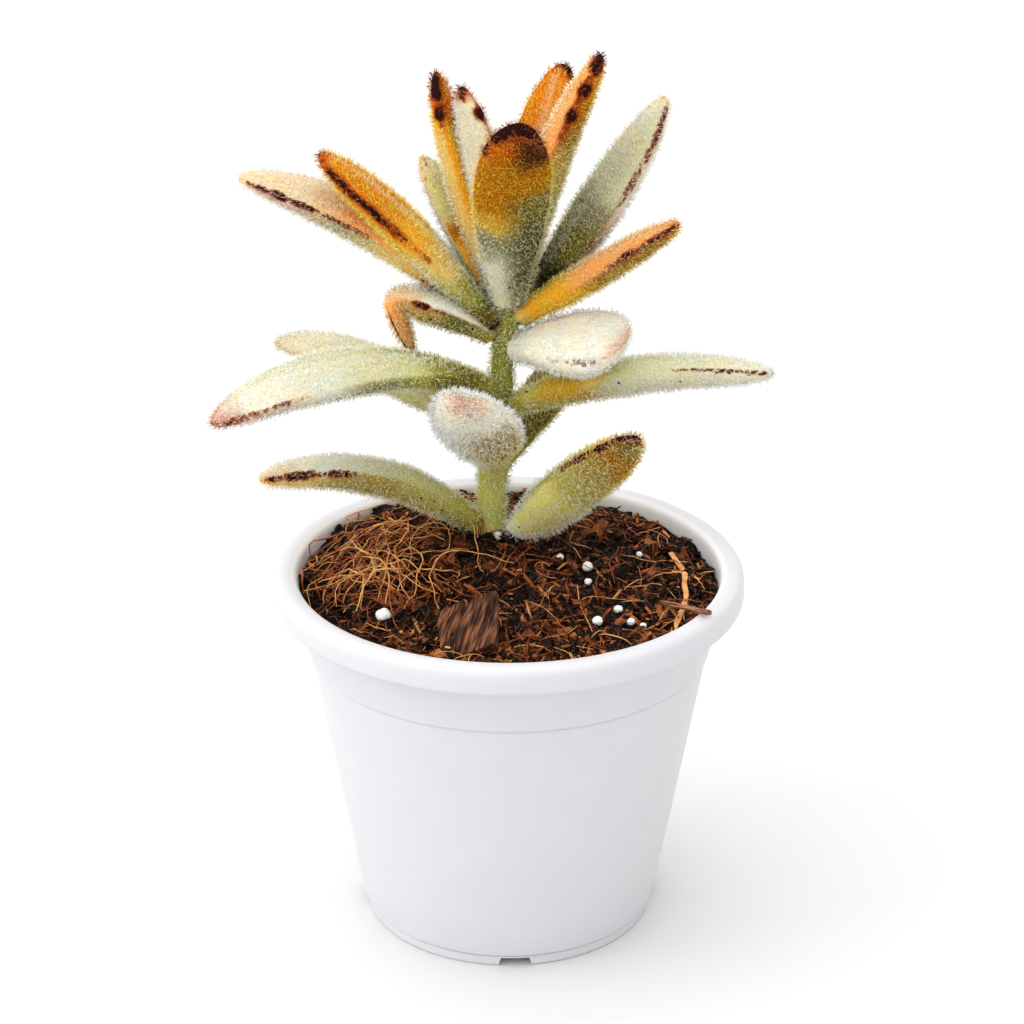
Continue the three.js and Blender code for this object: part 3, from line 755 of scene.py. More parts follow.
# What colours each leaf. upper and lower are the colours of its two faces, each with the share of the length
# where it is reached. An ending in Right is that face's right half, as seen from the stem. turn moves the
# border of the faces round the leaf, in degrees, down on its right side. marks are the brown streaks: degrees
# round the leaf (0 is the left margin, 90 the upper midrib, 180 the right margin), from and to along it,
# width in millimetres and how much. tip is how brown the tip is, and warm how orange the border of the brown.
# specks are dark crumbs: degrees round and share along. over is how far the upper colours reach under the
# leaf's base.
lookDefaults = {
    "upper": ((0, "leaf"), (0.3, "sage"), (0.6, "pale")),
    "lower": ((0, "olive"), (0.4, "sage"), (0.7, "grey")),
    "marks": ((0, 0.7, 0.97, 0.8, 0.6), (180, 0.7, 0.97, 0.8, 0.6)), "tip": 0.3, "specks": (),
    "over": 0, "warm": 0.2, "turn": 0,
}
leafLooks = {
    "leaf_low_left": {
        "upper": ((0, "leaf"), (0.15, "lime"), (0.35, "fresh"), (0.5, "mint"), (0.8, "white"),
                  (0.97, "cream")),
        "lower": ((0, "leaf"), (0.22, "lime"), (0.35, "lime"), (0.5, "khaki"), (0.65, "khaki"),
                  (0.85, "straw"), (1, "peach")),
        "marks": ((-4, 0.65, 0.98, 0.9, 0.5), (-4, 0.68, 0.74, 1.1, 0.75), (-4, 0.82, 0.9, 1.3, 0.85),
                  (-4, 0.95, 0.97, 1, 0.7), (180, 0.7, 0.9, 0.6, 0.4)), "tip": 0.25, "warm": 0.15,
        "specks": ((-30, 0.34), (-20, 0.28), (-35, 0.22), (110, 0.8), (100, 0.66)),
    },
    "leaf_low_right": {
        "upper": ((0, "pale"), (0.2, "fresh"), (0.5, "lime"), (0.9, "gold")),
        # painted light: near the base the downturned lower face takes very bright tones, in place of light
        # that it misses
        "lower": ((0, "snow"), (0.14, "paintedLitLime"), (0.36, "paintedLitLime"), (0.5, "lime"), (0.62, "mustard"),
                  (0.76, "ochre"), (0.88, "bronze"), (1, "khaki")),
        "lowerRight": ((0, "snow"), (0.16, "paintedLitLime"), (0.4, "paintedLitLime"), (0.55, "lime"), (0.72, "khaki"),
                       (0.84, "bronze"), (0.97, "olive")),
        "marks": ((172, 0.6, 0.97, 1, 0.6), (176, 0.7, 0.74, 1, 0.9), (176, 0.84, 0.88, 1.2, 1),
                  (150, 0.93, 0.97, 1.8, 1)), "tip": 0.6, "warm": 0.1,
        "specks": ((60, 0.2), (80, 0.42), (-150, 0.1)),
    },
    "leaf_mid_back_right": {
        "upper": ((0, "leaf"), (0.3, "olive"), (1, "sage")),
        "lower": ((0, "lime"), (0.3, "leaf"), (0.7, "lime")),
    },
    "leaf_mid_back_left": {
        "upper": ((0, "lime"), (0.4, "pale"), (0.8, "pale"), (1, "beige")),
        "lower": ((0, "lime"), (0.4, "fresh"), (0.7, "pale"), (1, "beige")),
        "marks": ((20, 0.86, 0.97, 1.2, 0.24), (60, 0.8, 0.84, 1.2, 0.22)), "tip": 0.2, "warm": 0,
    },
    "leaf_mid_front": {
        "upper": ((0, "sage"), (0.3, "snow"), (0.88, "snow"), (1, "rose")),
        "lower": ((0, "sage"), (0.3, "bronze"), (0.5, "khaki"), (0.7, "grey"), (0.86, "white"),
                  (1, "blush")), "lowerRight": ((0, "white"), (0.5, "snow"), (0.92, "snow"), (1, "blush")),
        "marks": ((180, 0.7, 0.97, 1.6, 0.2), (0, 0.7, 0.95, 1.6, 0.2), (-150, 0.9, 0.97, 2.2, 0.23),
                  (-115, 0.9, 0.98, 3, 0.26), (-80, 0.9, 0.98, 3.2, 0.25), (-50, 0.9, 0.95, 2.8, 0.22)),
        "tip": 0.2, "warm": 0,
    },
    "leaf_mid_right": {
        "upper": ((0, "leaf"), (0.1, "lime"), (0.17, "mustard"), (0.27, "mustard"), (0.36, "straw"),
                  (0.46, "fresh"), (0.6, "mint"), (0.8, "pale"), (1, "white")),
        "lower": ((0, "lime"), (0.15, "lime"), (0.3, "khaki"), (0.45, "mint"), (0.6, "pale"), (1, "white")),
        "marks": ((176, 0.66, 0.97, 0.7, 0.45), (178, 0.8, 0.86, 0.9, 0.6), (178, 0.92, 0.97, 0.9, 0.6),
                  (0, 0.85, 0.97, 0.6, 0.3)), "tip": 0.3, "warm": 0.1, "over": 0.75,
        "specks": ((200, 0.46), (215, 0.68), (150, 0.1), (195, 0.02)),
    },
    "leaf_mid_left": {
        "upper": ((0, "leaf"), (0.14, "olive"), (0.25, "leaf"), (0.36, "fresh"), (0.5, "mint"),
                  (0.7, "mist"), (0.88, "white"), (0.95, "rose"), (1, "rose")),
        "upperRight": ((0, "leaf"), (0.15, "olive"), (0.3, "leaf"), (0.45, "fresh"), (0.65, "mint"),
                       (0.88, "pale"), (0.95, "rose"), (1, "rose")),
        "lower": ((0, "leaf"), (0.2, "olive"), (0.35, "leaf"), (0.5, "sage"), (0.65, "mist"), (1, "rose")),
        "marks": ((14, 0.72, 0.96, 1.2, 0.34), (13, 0.79, 0.83, 1.1, 0.45), (14, 0.88, 0.96, 1.4, 0.5),
                  (-40, 0.93, 0.97, 1.4, 0.4), (-36, 0.62, 0.635, 0.8, 1.1), (180, 0.72, 0.95, 0.6, 0.3)),
        "tip": 0.5, "warm": 0.3, "turn": 14,
        "specks": ((140, 0.36), (130, 0.3), (125, 0.26), (115, 0.2), (90, 0.21), (150, 0.25), (165, 0.5)),
    },
    "leaf_collar_front": {
        "upper": ((0, "white"), (0.3, "snow"), (0.9, "snow"), (1, "blush")),
        "lower": ((0, "white"), (0.5, "snow"), (1, "snow")),
        "marks": ((160, 0.5, 0.98, 1.9, 0.28), (156, 0.76, 0.94, 2.2, 0.33), (10, 0.9, 0.98, 1.6, 0.24)),
        "tip": 0.2, "warm": 0.1, "turn": -22,
    },
    "leaf_collar_left": {
        "upper": ((0, "sage"), (0.2, "snow"), (0.42, "snow"), (0.6, "cream"), (0.68, "peach"),
                  (0.9, "peach")),
        "lower": ((0, "khaki"), (0.25, "moss"), (0.45, "khaki"), (0.58, "tan"), (0.72, "peach"),
                  (0.85, "peach")),
        "marks": ((-4, 0.36, 0.56, 0.6, 0.4), (-4, 0.47, 0.53, 0.9, 0.8), (30, 0.7, 0.96, 0.7, 0.8),
                  (180, 0.5, 0.9, 0.6, 0.3)), "tip": 0.5, "warm": 0.6,
        "specks": ((-40, 0.42), (-20, 0.16), (60, 0.04)),
    },
    "leaf_outer_back": {},
    "leaf_outer_left": {
        "upper": ((0, "olive"), (0.2, "tan"), (0.35, "peach"), (0.55, "peach"), (0.75, "cream"),
                  (1, "cream")),
        "lower": ((0, "olive"), (0.25, "tan"), (0.4, "straw"), (0.6, "grey"), (0.85, "blush"),
                  (1, "cream")),
        "marks": ((0, 0.52, 0.96, 0.9, 0.5), (0, 0.72, 0.79, 1, 0.7), (0, 0.83, 0.86, 1.2, 0.85),
                  (0, 0.9, 0.92, 1, 0.75), (180, 0.6, 0.95, 0.7, 0.5)), "tip": 0.15, "warm": 0.15,
        "specks": ((-35, 0.28), (-30, 0.2), (-40, 0.24)),
    },
    "leaf_outer_upper_left": {
        # partly painted shade: the base of the upper face is dark deep
        "upper": ((0, "deep"), (0.12, "olive"), (0.22, "leaf"), (0.34, "straw"), (0.5, "gold"),
                  (0.7, "amber"), (1, "amber")),
        "lower": ((0, "deep"), (0.12, "olive"), (0.26, "lime"), (0.4, "straw"), (0.52, "gold"),
                  (1, "amber")),
        "marks": ((6, 0.55, 0.96, 1.8, 0.55), (6, 0.66, 0.92, 1.1, 1), (6, 0.42, 0.66, 1.3, 0.36),
                  (180, 0.7, 0.95, 0.8, 0.5)), "tip": 0.75, "warm": 0.9,
    },
    "leaf_outer_right": {
        # partly painted shade: the base of the upper face is dark deep, where it lies between neighbouring
        # leaves
        "upper": ((0, "deep"), (0.2, "deep"), (0.36, "moss"), (0.5, "sage"), (0.62, "mint"), (0.8, "mint"),
                  (0.92, "pale"), (1, "cream")),
        "lower": ((0, "olive"), (0.3, "sage"), (0.6, "white"), (0.9, "cream"), (1, "peach")),
        "marks": ((180, 0.36, 0.7, 1.2, 0.32), (180, 0.6, 0.95, 1.4, 0.46), (180, 0.83, 0.94, 1.1, 0.6)),
        "tip": 0.3, "warm": 0.15,
    },
    "leaf_outer_low_right": {
        "upper": ((0, "fresh"), (0.1, "gold"), (0.3, "gold"), (0.5, "peach"), (1, "peach")),
        "lower": ((0, "lime"), (0.12, "gold"), (0.35, "gold"), (0.55, "bronze"), (0.85, "bronze"),
                  (1, "ochre")),
        "marks": ((205, 0.6, 0.97, 0.9, 0.5), (203, 0.7, 0.76, 1, 0.75), (203, 0.8, 0.95, 0.8, 0.7),
                  (0, 0.7, 0.95, 0.8, 0.4)), "tip": 0.5, "warm": 0.4, "turn": 28,
    },
    "leaf_inner_front": {
        "upper": ((0, "sage"), (0.4, "gold"), (0.8, "orange")),
        "lower": ((0, "sage"), (0.2, "silver"), (0.4, "silver"), (0.56, "olive"), (0.72, "ochre"),
                  (0.84, "umber"), (1, "umber")),
        "lowerRight": ((0, "pale"), (0.22, "mist"), (0.36, "sage"), (0.46, "mustard"), (0.58, "ochre"),
                       (0.78, "ochre"), (0.9, "orange"), (1, "umber")),
        "marks": ((184, 0.84, 0.87, 1.3, 1.1), (192, 0.93, 1, 1.5, 1.2), (-12, 0.9, 1, 1.7, 1),
                  (-90, 0.98, 1, 1.8, 1), (-45, 0.96, 1, 2.2, 1), (-135, 0.965, 1, 1.9, 1)), "tip": 1.2,
        "warm": 0.7, "specks": ((-90, 0.13),),
    },
    "leaf_inner_back_left": {
        "upper": ((0, "gold"), (0.38, "gold"), (0.5, "ochre"), (0.62, "fresh"), (0.85, "fresh"),
                  (0.95, "cream")),
        "upperRight": ((0, "ochre"), (0.38, "ochre"), (0.52, "gold"), (0.68, "fresh"), (0.9, "fresh")),
        "lower": ((0, "sage"), (0.5, "pale"), (1, "cream")),
        "marks": ((60, 0.93, 0.97, 1.2, 0.35), (10, 0.85, 0.97, 0.8, 0.32)), "tip": 0.3, "warm": 0,
    },
    "leaf_inner_left": {
        "upper": ((0, "lime"), (0.3, "gold"), (0.7, "gold"), (0.85, "orange"), (1, "ochre")),
        "lower": ((0, "pale"), (0.4, "straw"), (0.65, "straw"), (0.8, "gold"), (0.88, "orange"),
                  (1, "orange")),
        "marks": ((0, 0.78, 0.98, 1, 0.42), (2, 0.91, 0.97, 1.5, 1.3), (2, 0.83, 0.84, 1.4, 1.25),
                  (4, 0.66, 0.78, 0.8, 0.24), (180, 0.78, 0.96, 0.9, 0.7), (180, 0.92, 0.93, 1.4, 1.1)),
        "tip": 0.9, "warm": 1,
    },
    "leaf_inner_right": {
        "upper": ((0, "sage"), (0.2, "straw"), (0.4, "peach"), (0.6, "peach"), (0.85, "peach"),
                  (1, "peach")),
        "lower": ((0, "olive"), (0.25, "khaki"), (0.42, "leaf"), (0.56, "khaki"), (0.68, "bronze"),
                  (0.78, "ochre"), (0.9, "amber")),
        "marks": ((180, 0.66, 0.97, 1.3, 0.45), (184, 0.85, 0.86, 1.6, 1.3), (184, 0.745, 0.75, 1.4, 1.25),
                  (184, 0.95, 0.99, 1.9, 1.3), (176, 0.55, 0.7, 1.1, 0.3), (0, 0.85, 0.95, 0.8, 0.5)),
        "tip": 1.1, "warm": 1,
    },
    "leaf_inner_centre": {
        "upper": ((0, "sage"), (0.3, "mist"), (1, "pale")),
        "lower": ((0, "sage"), (0.35, "white"), (1, "pale")),
        "marks": ((0, 0.76, 0.97, 0.8, 0.4), (0, 0.885, 0.89, 1.4, 1.25), (180, 0.96, 0.98, 1.8, 1.3),
                  (-60, 0.97, 0.99, 1.7, 0.8)), "tip": 0.8, "warm": 0.9,
    },
    "leaf_inner_back": {
        "upper": ((0, "lime"), (0.3, "gold"), (0.5, "amber"), (1, "amber")),
        "lower": ((0, "sage"), (0.5, "cream"), (1, "orange")),
        "marks": ((0, 0.6, 0.97, 0.7, 0.42), (0, 0.84, 0.86, 1, 0.85), (0, 0.9, 0.92, 0.9, 0.85),
                  (180, 0.9, 1, 1.6, 1.2), (180, 0.7, 0.9, 0.7, 0.4)), "tip": 0.7, "warm": 0.8,
    },
    "bud_leaf_left": {},
    "bud_leaf_right": {},
}

leafMake = {
    "sides": 42, "rings": 76, "fuzz": 0.35,  # how far the skin lies below the tips of the hairs
    "upperBulge": 0.8, "lowerBulge": 1.2, "groove": 0.5, "grooveWidth": 0.22, "ripple": 0.28,
    "toothDeep": 0.5, "speck": 0.34, "foldReach": 0.07, "midribWidth": 0.16, "midribHighlight": 0.3,
    "tipReach": 1.5,
}


def outline(share, narrow, broadest, closing):
    if share < broadest:
        return narrow + (1 - narrow) * math.sin(math.pi / 2 * share / broadest) ** 1.3
    past = (share - broadest) / (1 - broadest)
    return math.sqrt(max(0, 1 - past**2)) ** closing


def headingAt(form, share):
    first, last = form["rise"]
    rise = first + (last - first) * share
    if form["fold"]:
        at, turn, _ = form["fold"]
        rise -= turn * smooth(at - leafMake["foldReach"], at + leafMake["foldReach"], share)
    azimuth, rise = math.radians(form["azimuth"] + form["sway"] * share), math.radians(rise)
    level = math.cos(rise)
    return Vector((level * math.cos(azimuth), level * math.sin(azimuth), math.sin(rise)))


def midribOf(form, steps=120):  # places along the midrib, from the stem to the tip
    azimuth = math.radians(form["azimuth"])
    places = [stemAt(form["height"]) + Vector((math.cos(azimuth), math.sin(azimuth), 0)) * form["start"]]
    for step in range(steps):
        places.append(places[-1] + headingAt(form, (step + 0.5) / steps) * (form["length"] / steps))
    return places


def between(places, share):
    step = min(len(places) - 1.001, max(0, share * (len(places) - 1)))
    low = int(step)
    return places[low].lerp(places[low + 1], step - low)


def feltOf(name):
    return Vector(feltTones[name][:3])


def feltAt(stops, share):
    low, first = stops[0]
    for high, second in stops:
        if share <= high:
            how = smooth(low, high, share) if high > low else 1
            return feltOf(first).lerp(feltOf(second), how)
        low, first = high, second
    return feltOf(first)


def sizeAt(form, share):  # half the width and half the thickness there
    plump = 1
    if form["fold"]:
        at, _, slim = form["fold"]
        plump = 1 - slim * smooth(at - 0.2, at, share)
    wide = form["width"] / 2 * plump * outline(share, form["narrow"], form["broadest"], form["blunt"])
    return wide, form["thick"] / 2 * plump * outline(share, 0.62, form["broadest"] * 0.8, 0.95)


def awayFromMark(mark, form, share, across, lift):  # in millimetres, along and round the leaf
    around, first, last = math.radians(mark[0]), mark[1], mark[2]
    wide, thick = sizeAt(form, share)
    along = max(first - share, share - last, 0) * form["length"]
    return math.hypot(along, (across - math.cos(around)) * wide, (lift - math.sin(around)) * thick)


def tonesAt(look, form, share, across, lift, wander):
    around = math.atan2(lift, across) - math.radians(look["turn"])
    toRight = -math.cos(around)
    toUpper = math.sin(around) + look["over"] * smooth(0.5, 0.2, share)
    sides = []
    for face in ("upper", "lower"):
        left = feltAt(look[face], share + wander)
        right = feltAt(look.get(face + "Right", look[face]), share + wander)
        sides.append(left.lerp(right, smooth(-0.5, 0.5, toRight + wander * 4)))
    felt = sides[1].lerp(sides[0], smooth(-0.12, 0.12, toUpper + wander * 2))
    if lift > 0:  # painted highlight: the felt is made paler along the midrib of the upper face, where its fold catches the light
        midrib = math.exp(-((across / leafMake["midribWidth"]) ** 2))
        felt = felt.lerp(Vector((1, 1, 0.95)), leafMake["midribHighlight"] * midrib * smooth(0.1, 0.4, share))
    brown = 0
    for mark in look["marks"]:
        away = awayFromMark(mark, form, share, across, lift)
        brown = max(brown, mark[4] * math.exp(-((away / mark[3]) ** 2)))
    toTip = (1 - share) * form["length"]
    brown = max(brown, look["tip"] * math.exp(-((toTip / leafMake["tipReach"]) ** 2)))
    nearTip = smooth(4, leafMake["tipReach"], toTip) * smooth(0.1, 0.5, look["warm"])
    near = max(nearTip, smooth(0.1, 0.6, brown)) * look["warm"]
    return {"felt": felt.lerp(feltOf("edge"), 0.7 * near), "brown": brown, "warm": look["warm"]}


def addSpeck(bm, layers, place):  # a dark crumb that lies on the skin
    for vert in bmesh.ops.create_icosphere(bm, subdivisions=1, radius=leafMake["speck"] * mm)["verts"]:
        vert.co = place * mm + vert.co * (1 + 0.3 * ripple(vert.co / mm + place, 0.4))
        vert[layers["brown"]] = 2


def makeLeaf(name, seed):
    form = {**leafDefaults, **leafForms[name]}
    look = {**lookDefaults, **leafLooks[name]}
    fuzz = min(leafMake["fuzz"], form["thick"] * 0.12)
    midrib = midribOf(form)

    def skinAt(share, across, lift):
        heading = headingAt(form, share)
        azimuth = math.radians(form["azimuth"] + form["sway"] * share)
        sideways = Vector((-math.sin(azimuth), math.cos(azimuth), 0))
        sideways.rotate(Matrix.Rotation(math.radians(form["roll"]), 3, heading))
        outward = heading.cross(sideways)
        wide, thick = sizeAt(form, share)
        wide *= 1 - 2 * fuzz / form["width"]
        thick *= 1 - 2 * fuzz / form["thick"]
        for around, first, last, broad, much in look["marks"]:
            if much > 1 and across * math.cos(math.radians(around)) > 0.5:
                off = max(first - share, share - last, 0) * form["length"] / broad
                wide += leafMake["toothDeep"] * math.exp(-(off**2)) * abs(across) ** 3
        bulge, groove = leafMake["lowerBulge"], 0
        if lift > 0:
            bulge = leafMake["upperBulge"]
            groove = leafMake["groove"] * math.exp(-((across / leafMake["grooveWidth"]) ** 2))
            groove *= smooth(0.9, 0.5, share)
        place = between(midrib, share * (1 - fuzz / form["length"]))
        if not across and not lift:  # a pole, sunk into the stem at the base
            return place - heading * 0.6 * (share < 0.5), heading
        place = place + sideways * across * wide + outward * lift * (thick * bulge - groove)
        waves = ripple(place, 5, seed) + 0.4 * ripple(place, 2, seed)
        place = place + (sideways * across + outward * lift) * waves * leafMake["ripple"] * min(1, thick / 2)
        return place, heading

    bm = bmesh.new()
    bmesh.ops.create_uvsphere(bm, u_segments=leafMake["sides"], v_segments=leafMake["rings"], radius=1)
    layers = setFields(bm, fieldNames)
    for vert in bm.verts:
        polar = math.acos(max(-1, min(1, vert.co.z))) / math.pi
        share = 1 - (1 - polar) ** 1.5
        size = math.hypot(vert.co.x, vert.co.y)
        across, lift = (-vert.co.x / size, vert.co.y / size) if size > 1e-4 else (0, 0)
        place, heading = skinAt(share, across, lift)
        vert.co = place * mm
        vert[layers["grow"]] = heading
        vert[layers["spread"]] = 0.35 + 0.65 * smooth(0, 0.05, share)
        wander = 0.035 * ripple(place, 6, seed) + 0.025 * ripple(place, 2.2, seed)
        for field, value in tonesAt(look, form, share, across, lift, wander).items():
            vert[layers[field]] = value
    for around, share in look["specks"]:
        turn = math.radians(around)
        addSpeck(bm, layers, skinAt(share, math.cos(turn), math.sin(turn))[0])
    faceOutward(bm)
    piece = madeOf(bm, name + "_felted", leafSkin)
    coverInHair(piece, seed, form["hair"])
    return handOver(piece, form["slot"], name)


makeStem(leafForms)
for number, leafName in enumerate(leafForms):
    makeLeaf(leafName, 10 + number)
print("stem and leaves made")


# Potting mix

mixBed = {
    "wallHeight": 78.6, "moundHeight": 7.4, "moundWidth": 27, "ripple": 0.7, "turns": 120, "rings": 38,
    "foot": (31, 1.95), "wallCorners": ((33.2, 9), (43.4, 64.8)), "edge": 46.7, "edgeFoot": 76, "top": 77,
    "lumps": ((0.7, 3.5, 0), (0.4, 1.4, 5)),  # height, size and seed
    "bank": 1.6, "bankFrom": 39, "bankTo": 46,  # how far the mix climbs against the wall
    "stemClear": (1.5, 4), "grainClear": (0.4, 2.8),  # chips begin at the first and are at full at the second
    "wallAt": (47, 79), "wallSlope": 0.22, "wallRise": 0.35, "wallGive": 0.12,  # the inside of the pot's wall
}
# What covers the mix, in passes. sizes are the shapes' lengths, widths and thicknesses, size is by how much
# each one is scaled, stray how far it leans aside and reach how far from the pot's middle it lies.
mixPasses = {
    "chips": {
        "sizes": ((7.5, 3.2, 0.9), (6, 4, 1.1), (8.5, 2.4, 0.8), (5, 3.4, 0.8), (6.5, 2.6, 1.2)),
        "finish": "bark", "perSquareMm": 0.09, "size": (0.6, 1.15), "stray": 0.7, "reach": 43.2,
    },
    "smallChips": {
        "sizes": ((3.6, 1.6, 0.6), (4.4, 1.2, 0.5), (2.8, 1.9, 0.7), (3.8, 2.2, 0.6)),
        "finish": "bark", "perSquareMm": 0.34, "size": (0.6, 1.25), "stray": 0.9, "reach": 45.6,
    },
    "slivers": {
        "sizes": ((5.5, 0.6, 0.35), (4.2, 0.5, 0.4), (3.4, 0.75, 0.3), (6.8, 0.45, 0.35)),
        "finish": "splinter", "perSquareMm": 0.3, "size": (0.6, 1.2), "stray": 1.1, "reach": 45.4,
    },
    "crumbs": {
        "sizes": ((1.5, 1, 0.8), (1.1, 0.9, 0.7), (0.8, 0.8, 0.6)),
        "finish": "bark", "perSquareMm": 0.45, "size": (0.5, 1.3), "stray": 1, "reach": 46.6,
    },
}

# Where each perlite grain lies and its radius. The chips and fibres keep clear of it.
perliteGrains = [
    (-2.4, 11, 1.1), (-27.4, -18, 1.9), (17.6, 2, 1.25), (11.5, 5.4, 0.9), (29.5, 11.5, 0.8),
    (17.6, -3.6, 0.9), (24, -14.4, 1.1), (26.6, -20, 0.95), (29.3, -20.6, 0.8), (19.3, -21.5, 1.2),
]


def fromStem(x, y):
    return math.hypot(x - stem["foot"].x, y - stem["foot"].y)


def mixLevel(x, y):
    mound = mixBed["moundHeight"] * math.exp(-((fromStem(x, y) / mixBed["moundWidth"]) ** 2))
    waves = mixBed["ripple"] * math.sin(x * 0.31 + 1.3) * math.cos(y * 0.27 - 0.4)
    return mixBed["wallHeight"] + mound + waves


def makeBarkFinish(name, stops, streak):
    bark = Finish(name)
    chance = bark.attribute("chance")
    fibre = bark.stretched((0.16, 1, 1), bark.attribute("grain", "Vector"))
    grain = bark.noise(0.32, 4, fibre)
    crack = bark.noise(0.9, 3, fibre)
    lump = bark.noise(7, 2) - 0.5
    colour = bark.stops(chance + lump * 0.5, *stops)
    colour = bark.mix(crack.between(0.5, 0.68) * 0.75, colour, tone(10, 6, 5))
    colour = bark.mix((1 - grain).between(0.54, 0.72) * (0.15 + chance * 0.5), colour, streak)
    return bark.surface(colour, 0.55 + grain * 0.4, bark.bump(grain + crack, 0.35), Specular_IOR_Level=0.12)


barkFines = makeBarkFinish(
    "barkFines",
    ((0, tone(5, 3, 2)), (0.5, tone(15, 9, 6)), (0.72, tone(44, 23, 14)), (0.88, tone(108, 52, 26)),
     (1, tone(176, 100, 56))),
    tone(204, 138, 92),
)
splinters = makeBarkFinish(
    "splinters",
    ((0, tone(26, 12, 7)), (0.48, tone(82, 37, 17)), (0.76, tone(178, 92, 40)), (1, tone(244, 172, 100))),
    tone(246, 196, 140),
)


def makeChipShapes(name, sizes, finish):
    shapes = bpy.data.collections.new(name)
    draw = random.Random(len(name))
    crumb = name == "crumbs"
    for index, (length, width, thick) in enumerate(sizes):
        bm = bmesh.new()
        grain = bm.verts.layers.float_vector.new("grain")
        bmesh.ops.create_cube(bm, size=1)
        if not crumb:
            along = [e for e in bm.edges if abs((e.verts[0].co - e.verts[1].co).x) > 0.5]
            bmesh.ops.subdivide_edges(bm, edges=along, cuts=2)
        bend = draw.uniform(-0.4, 0.4)
        for vert in bm.verts:
            vert.co += Vector([draw.uniform(-most, most) for most in (0.12, 0.24, 0.2)])
            vert.co.z += bend * vert.co.x**2 * 2
            vert.co.y *= 1 - 0.8 * abs(vert.co.x) ** 2
            vert.co = Vector((vert.co.x * length, vert.co.y * width, vert.co.z * thick)) * mm
            vert[grain] = vert.co + Vector((index, index * 3, 0)) * 0.01
        faceOutward(bm)
        setAside(madeOf(bm, f"{name}{index}", finish, flatAngle=30), shapes)
    return shapes


def makeBed():  # the mix without its chips
    rings, edge = mixBed["rings"], mixBed["edge"]
    corners = [(0, mixBed["foot"][1]), mixBed["foot"], *mixBed["wallCorners"], (edge, mixBed["edgeFoot"])]
    corners += [(edge * (1 - step / rings), mixBed["top"]) for step in range(rings + 1)]
    bm = spinRound([Vector((radius, 0, z)) for radius, z in corners], mixBed["turns"])
    layers = setFields(bm, ("spread", "chance"))
    for vert in bm.verts:
        x, y, z = vert.co / mm
        vert[layers["chance"]] = 0.1
        if z < (mixBed["edgeFoot"] + mixBed["top"]) / 2:
            continue
        lumps = sum(height * ripple((x, y, seed), size) for height, size, seed in mixBed["lumps"])
        climb = smooth(mixBed["bankFrom"], mixBed["bankTo"], math.hypot(x, y))
        bank = mixBed["bank"] * climb * (0.6 + ripple((x, y, 9), 6))
        vert.co.z = (mixLevel(x, y) - 0.5 + lumps + bank) * mm
        vert[layers["spread"]] = smooth(*mixBed["stemClear"], fromStem(x, y))
        for grainX, grainY, radius in perliteGrains:
            low, high = (radius + clear for clear in mixBed["grainClear"])
            vert[layers["spread"]] *= smooth(low, high, math.hypot(x - grainX, y - grainY))
    faceOutward(bm)
    return madeOf(bm, "potting_mix_fine", barkFines, splinters)


def pressFromWall(bm):  # chips that would pass through the pot's wall are pressed against it
    for vert in bm.verts:
        radius, level = mixBed["wallAt"]
        rise = min((vert.co.z / mm - level) * mixBed["wallSlope"], mixBed["wallRise"])
        wall = (radius + rise) * mm
        away = math.hypot(vert.co.x, vert.co.y)
        if away > wall:
            nearer = (wall + (away - wall) * mixBed["wallGive"]) / away
            vert.co = Vector((vert.co.x * nearer, vert.co.y * nearer, vert.co.z))


def makeMix():
    piece = makeBed()
    made = []
    for number, (name, choice) in enumerate(mixPasses.items()):
        bed = piece.copy()
        bed.data = piece.data.copy()
        inScene(bed)
        spread = bed.data.attributes["spread"].data
        for vert, share in zip(piece.data.vertices, spread):
            share.value *= smooth(choice["reach"], choice["reach"] - 1, math.hypot(*vert.co.xy) / mm)
        kind = ("bark", "splinter").index(choice["finish"])
        shapes = makeChipShapes(name, choice["sizes"], (barkFines, splinters)[kind])
        scatter(bed, shapes, choice["perSquareMm"], choice["size"], 70 + number, stray=choice["stray"])
        made.append((bed, kind))
        clearAway(shapes)
    bm = bmesh.new()
    bm.from_mesh(piece.data)
    for bed, kind in made:  # the bed itself is kept once
        only = bmesh.new()
        only.from_mesh(bed.data)
        only.verts.ensure_lookup_table()
        bmesh.ops.delete(only, geom=only.verts[:len(piece.data.vertices)], context="VERTS")
        for face in only.faces:
            face.material_index = kind
        only.to_mesh(bed.data)
        only.free()
        bm.from_mesh(bed.data)
        bpy.data.objects.remove(bed)
    pressFromWall(bm)
    bm.to_mesh(piece.data)
    bm.free()
    return handOver(piece, "potting_mix", "potting_mix")


makeMix()
print("potting mix made")


# Fibres


def makeCoirFinish(name, dark, light, tip):
    coir = Finish(name)
    blotch = coir.noise(2.2, 3)
    streak = coir.noise(0.35, 3)
    colour = coir.mix(blotch.between(0.3, 0.7), dark, light)
    # pale streaks of the tip colour along the fibres: partly paler fibre, partly painted highlight
    colour = coir.mix(streak.between(0.55, 0.8) * 0.6, colour, tip)
    return coir.surface(colour, 0.5 + streak * 0.3, coir.bump(streak, 0.08), Specular_IOR_Level=0.4)


coirGold = makeCoirFinish("coirGold", tone(196, 116, 48), tone(242, 184, 110), tone(255, 232, 180))
coirRust = makeCoirFinish("coirRust", tone(104, 42, 12), tone(182, 90, 34), tone(240, 160, 88))
coirDark = makeCoirFinish("coirDark", tone(52, 24, 14), tone(104, 52, 28), tone(150, 90, 58))
fibreReach = 46.2  # fibres stay inside the pot's wall


def wander(draw, x, y, heading, length, curl, arch, raised, steps):  # points of a fibre that lies on the mix
    points = []
    turn = draw.uniform(-curl, curl)
    for step in range(steps + 1):
        share = step / steps
        pull = min(1, fibreReach / max(1, math.hypot(x, y)))
        x, y = x * pull, y * pull
        z = mixLevel(x, y) + raised + arch * 4 * share * (1 - share) + draw.uniform(-0.15, 0.15)
        points.append(Vector((x, y, z)))
        heading += turn / steps + draw.gauss(0, curl * 0.12)
        x += math.cos(heading) * length / steps
        y += math.sin(heading) * length / steps
    return points


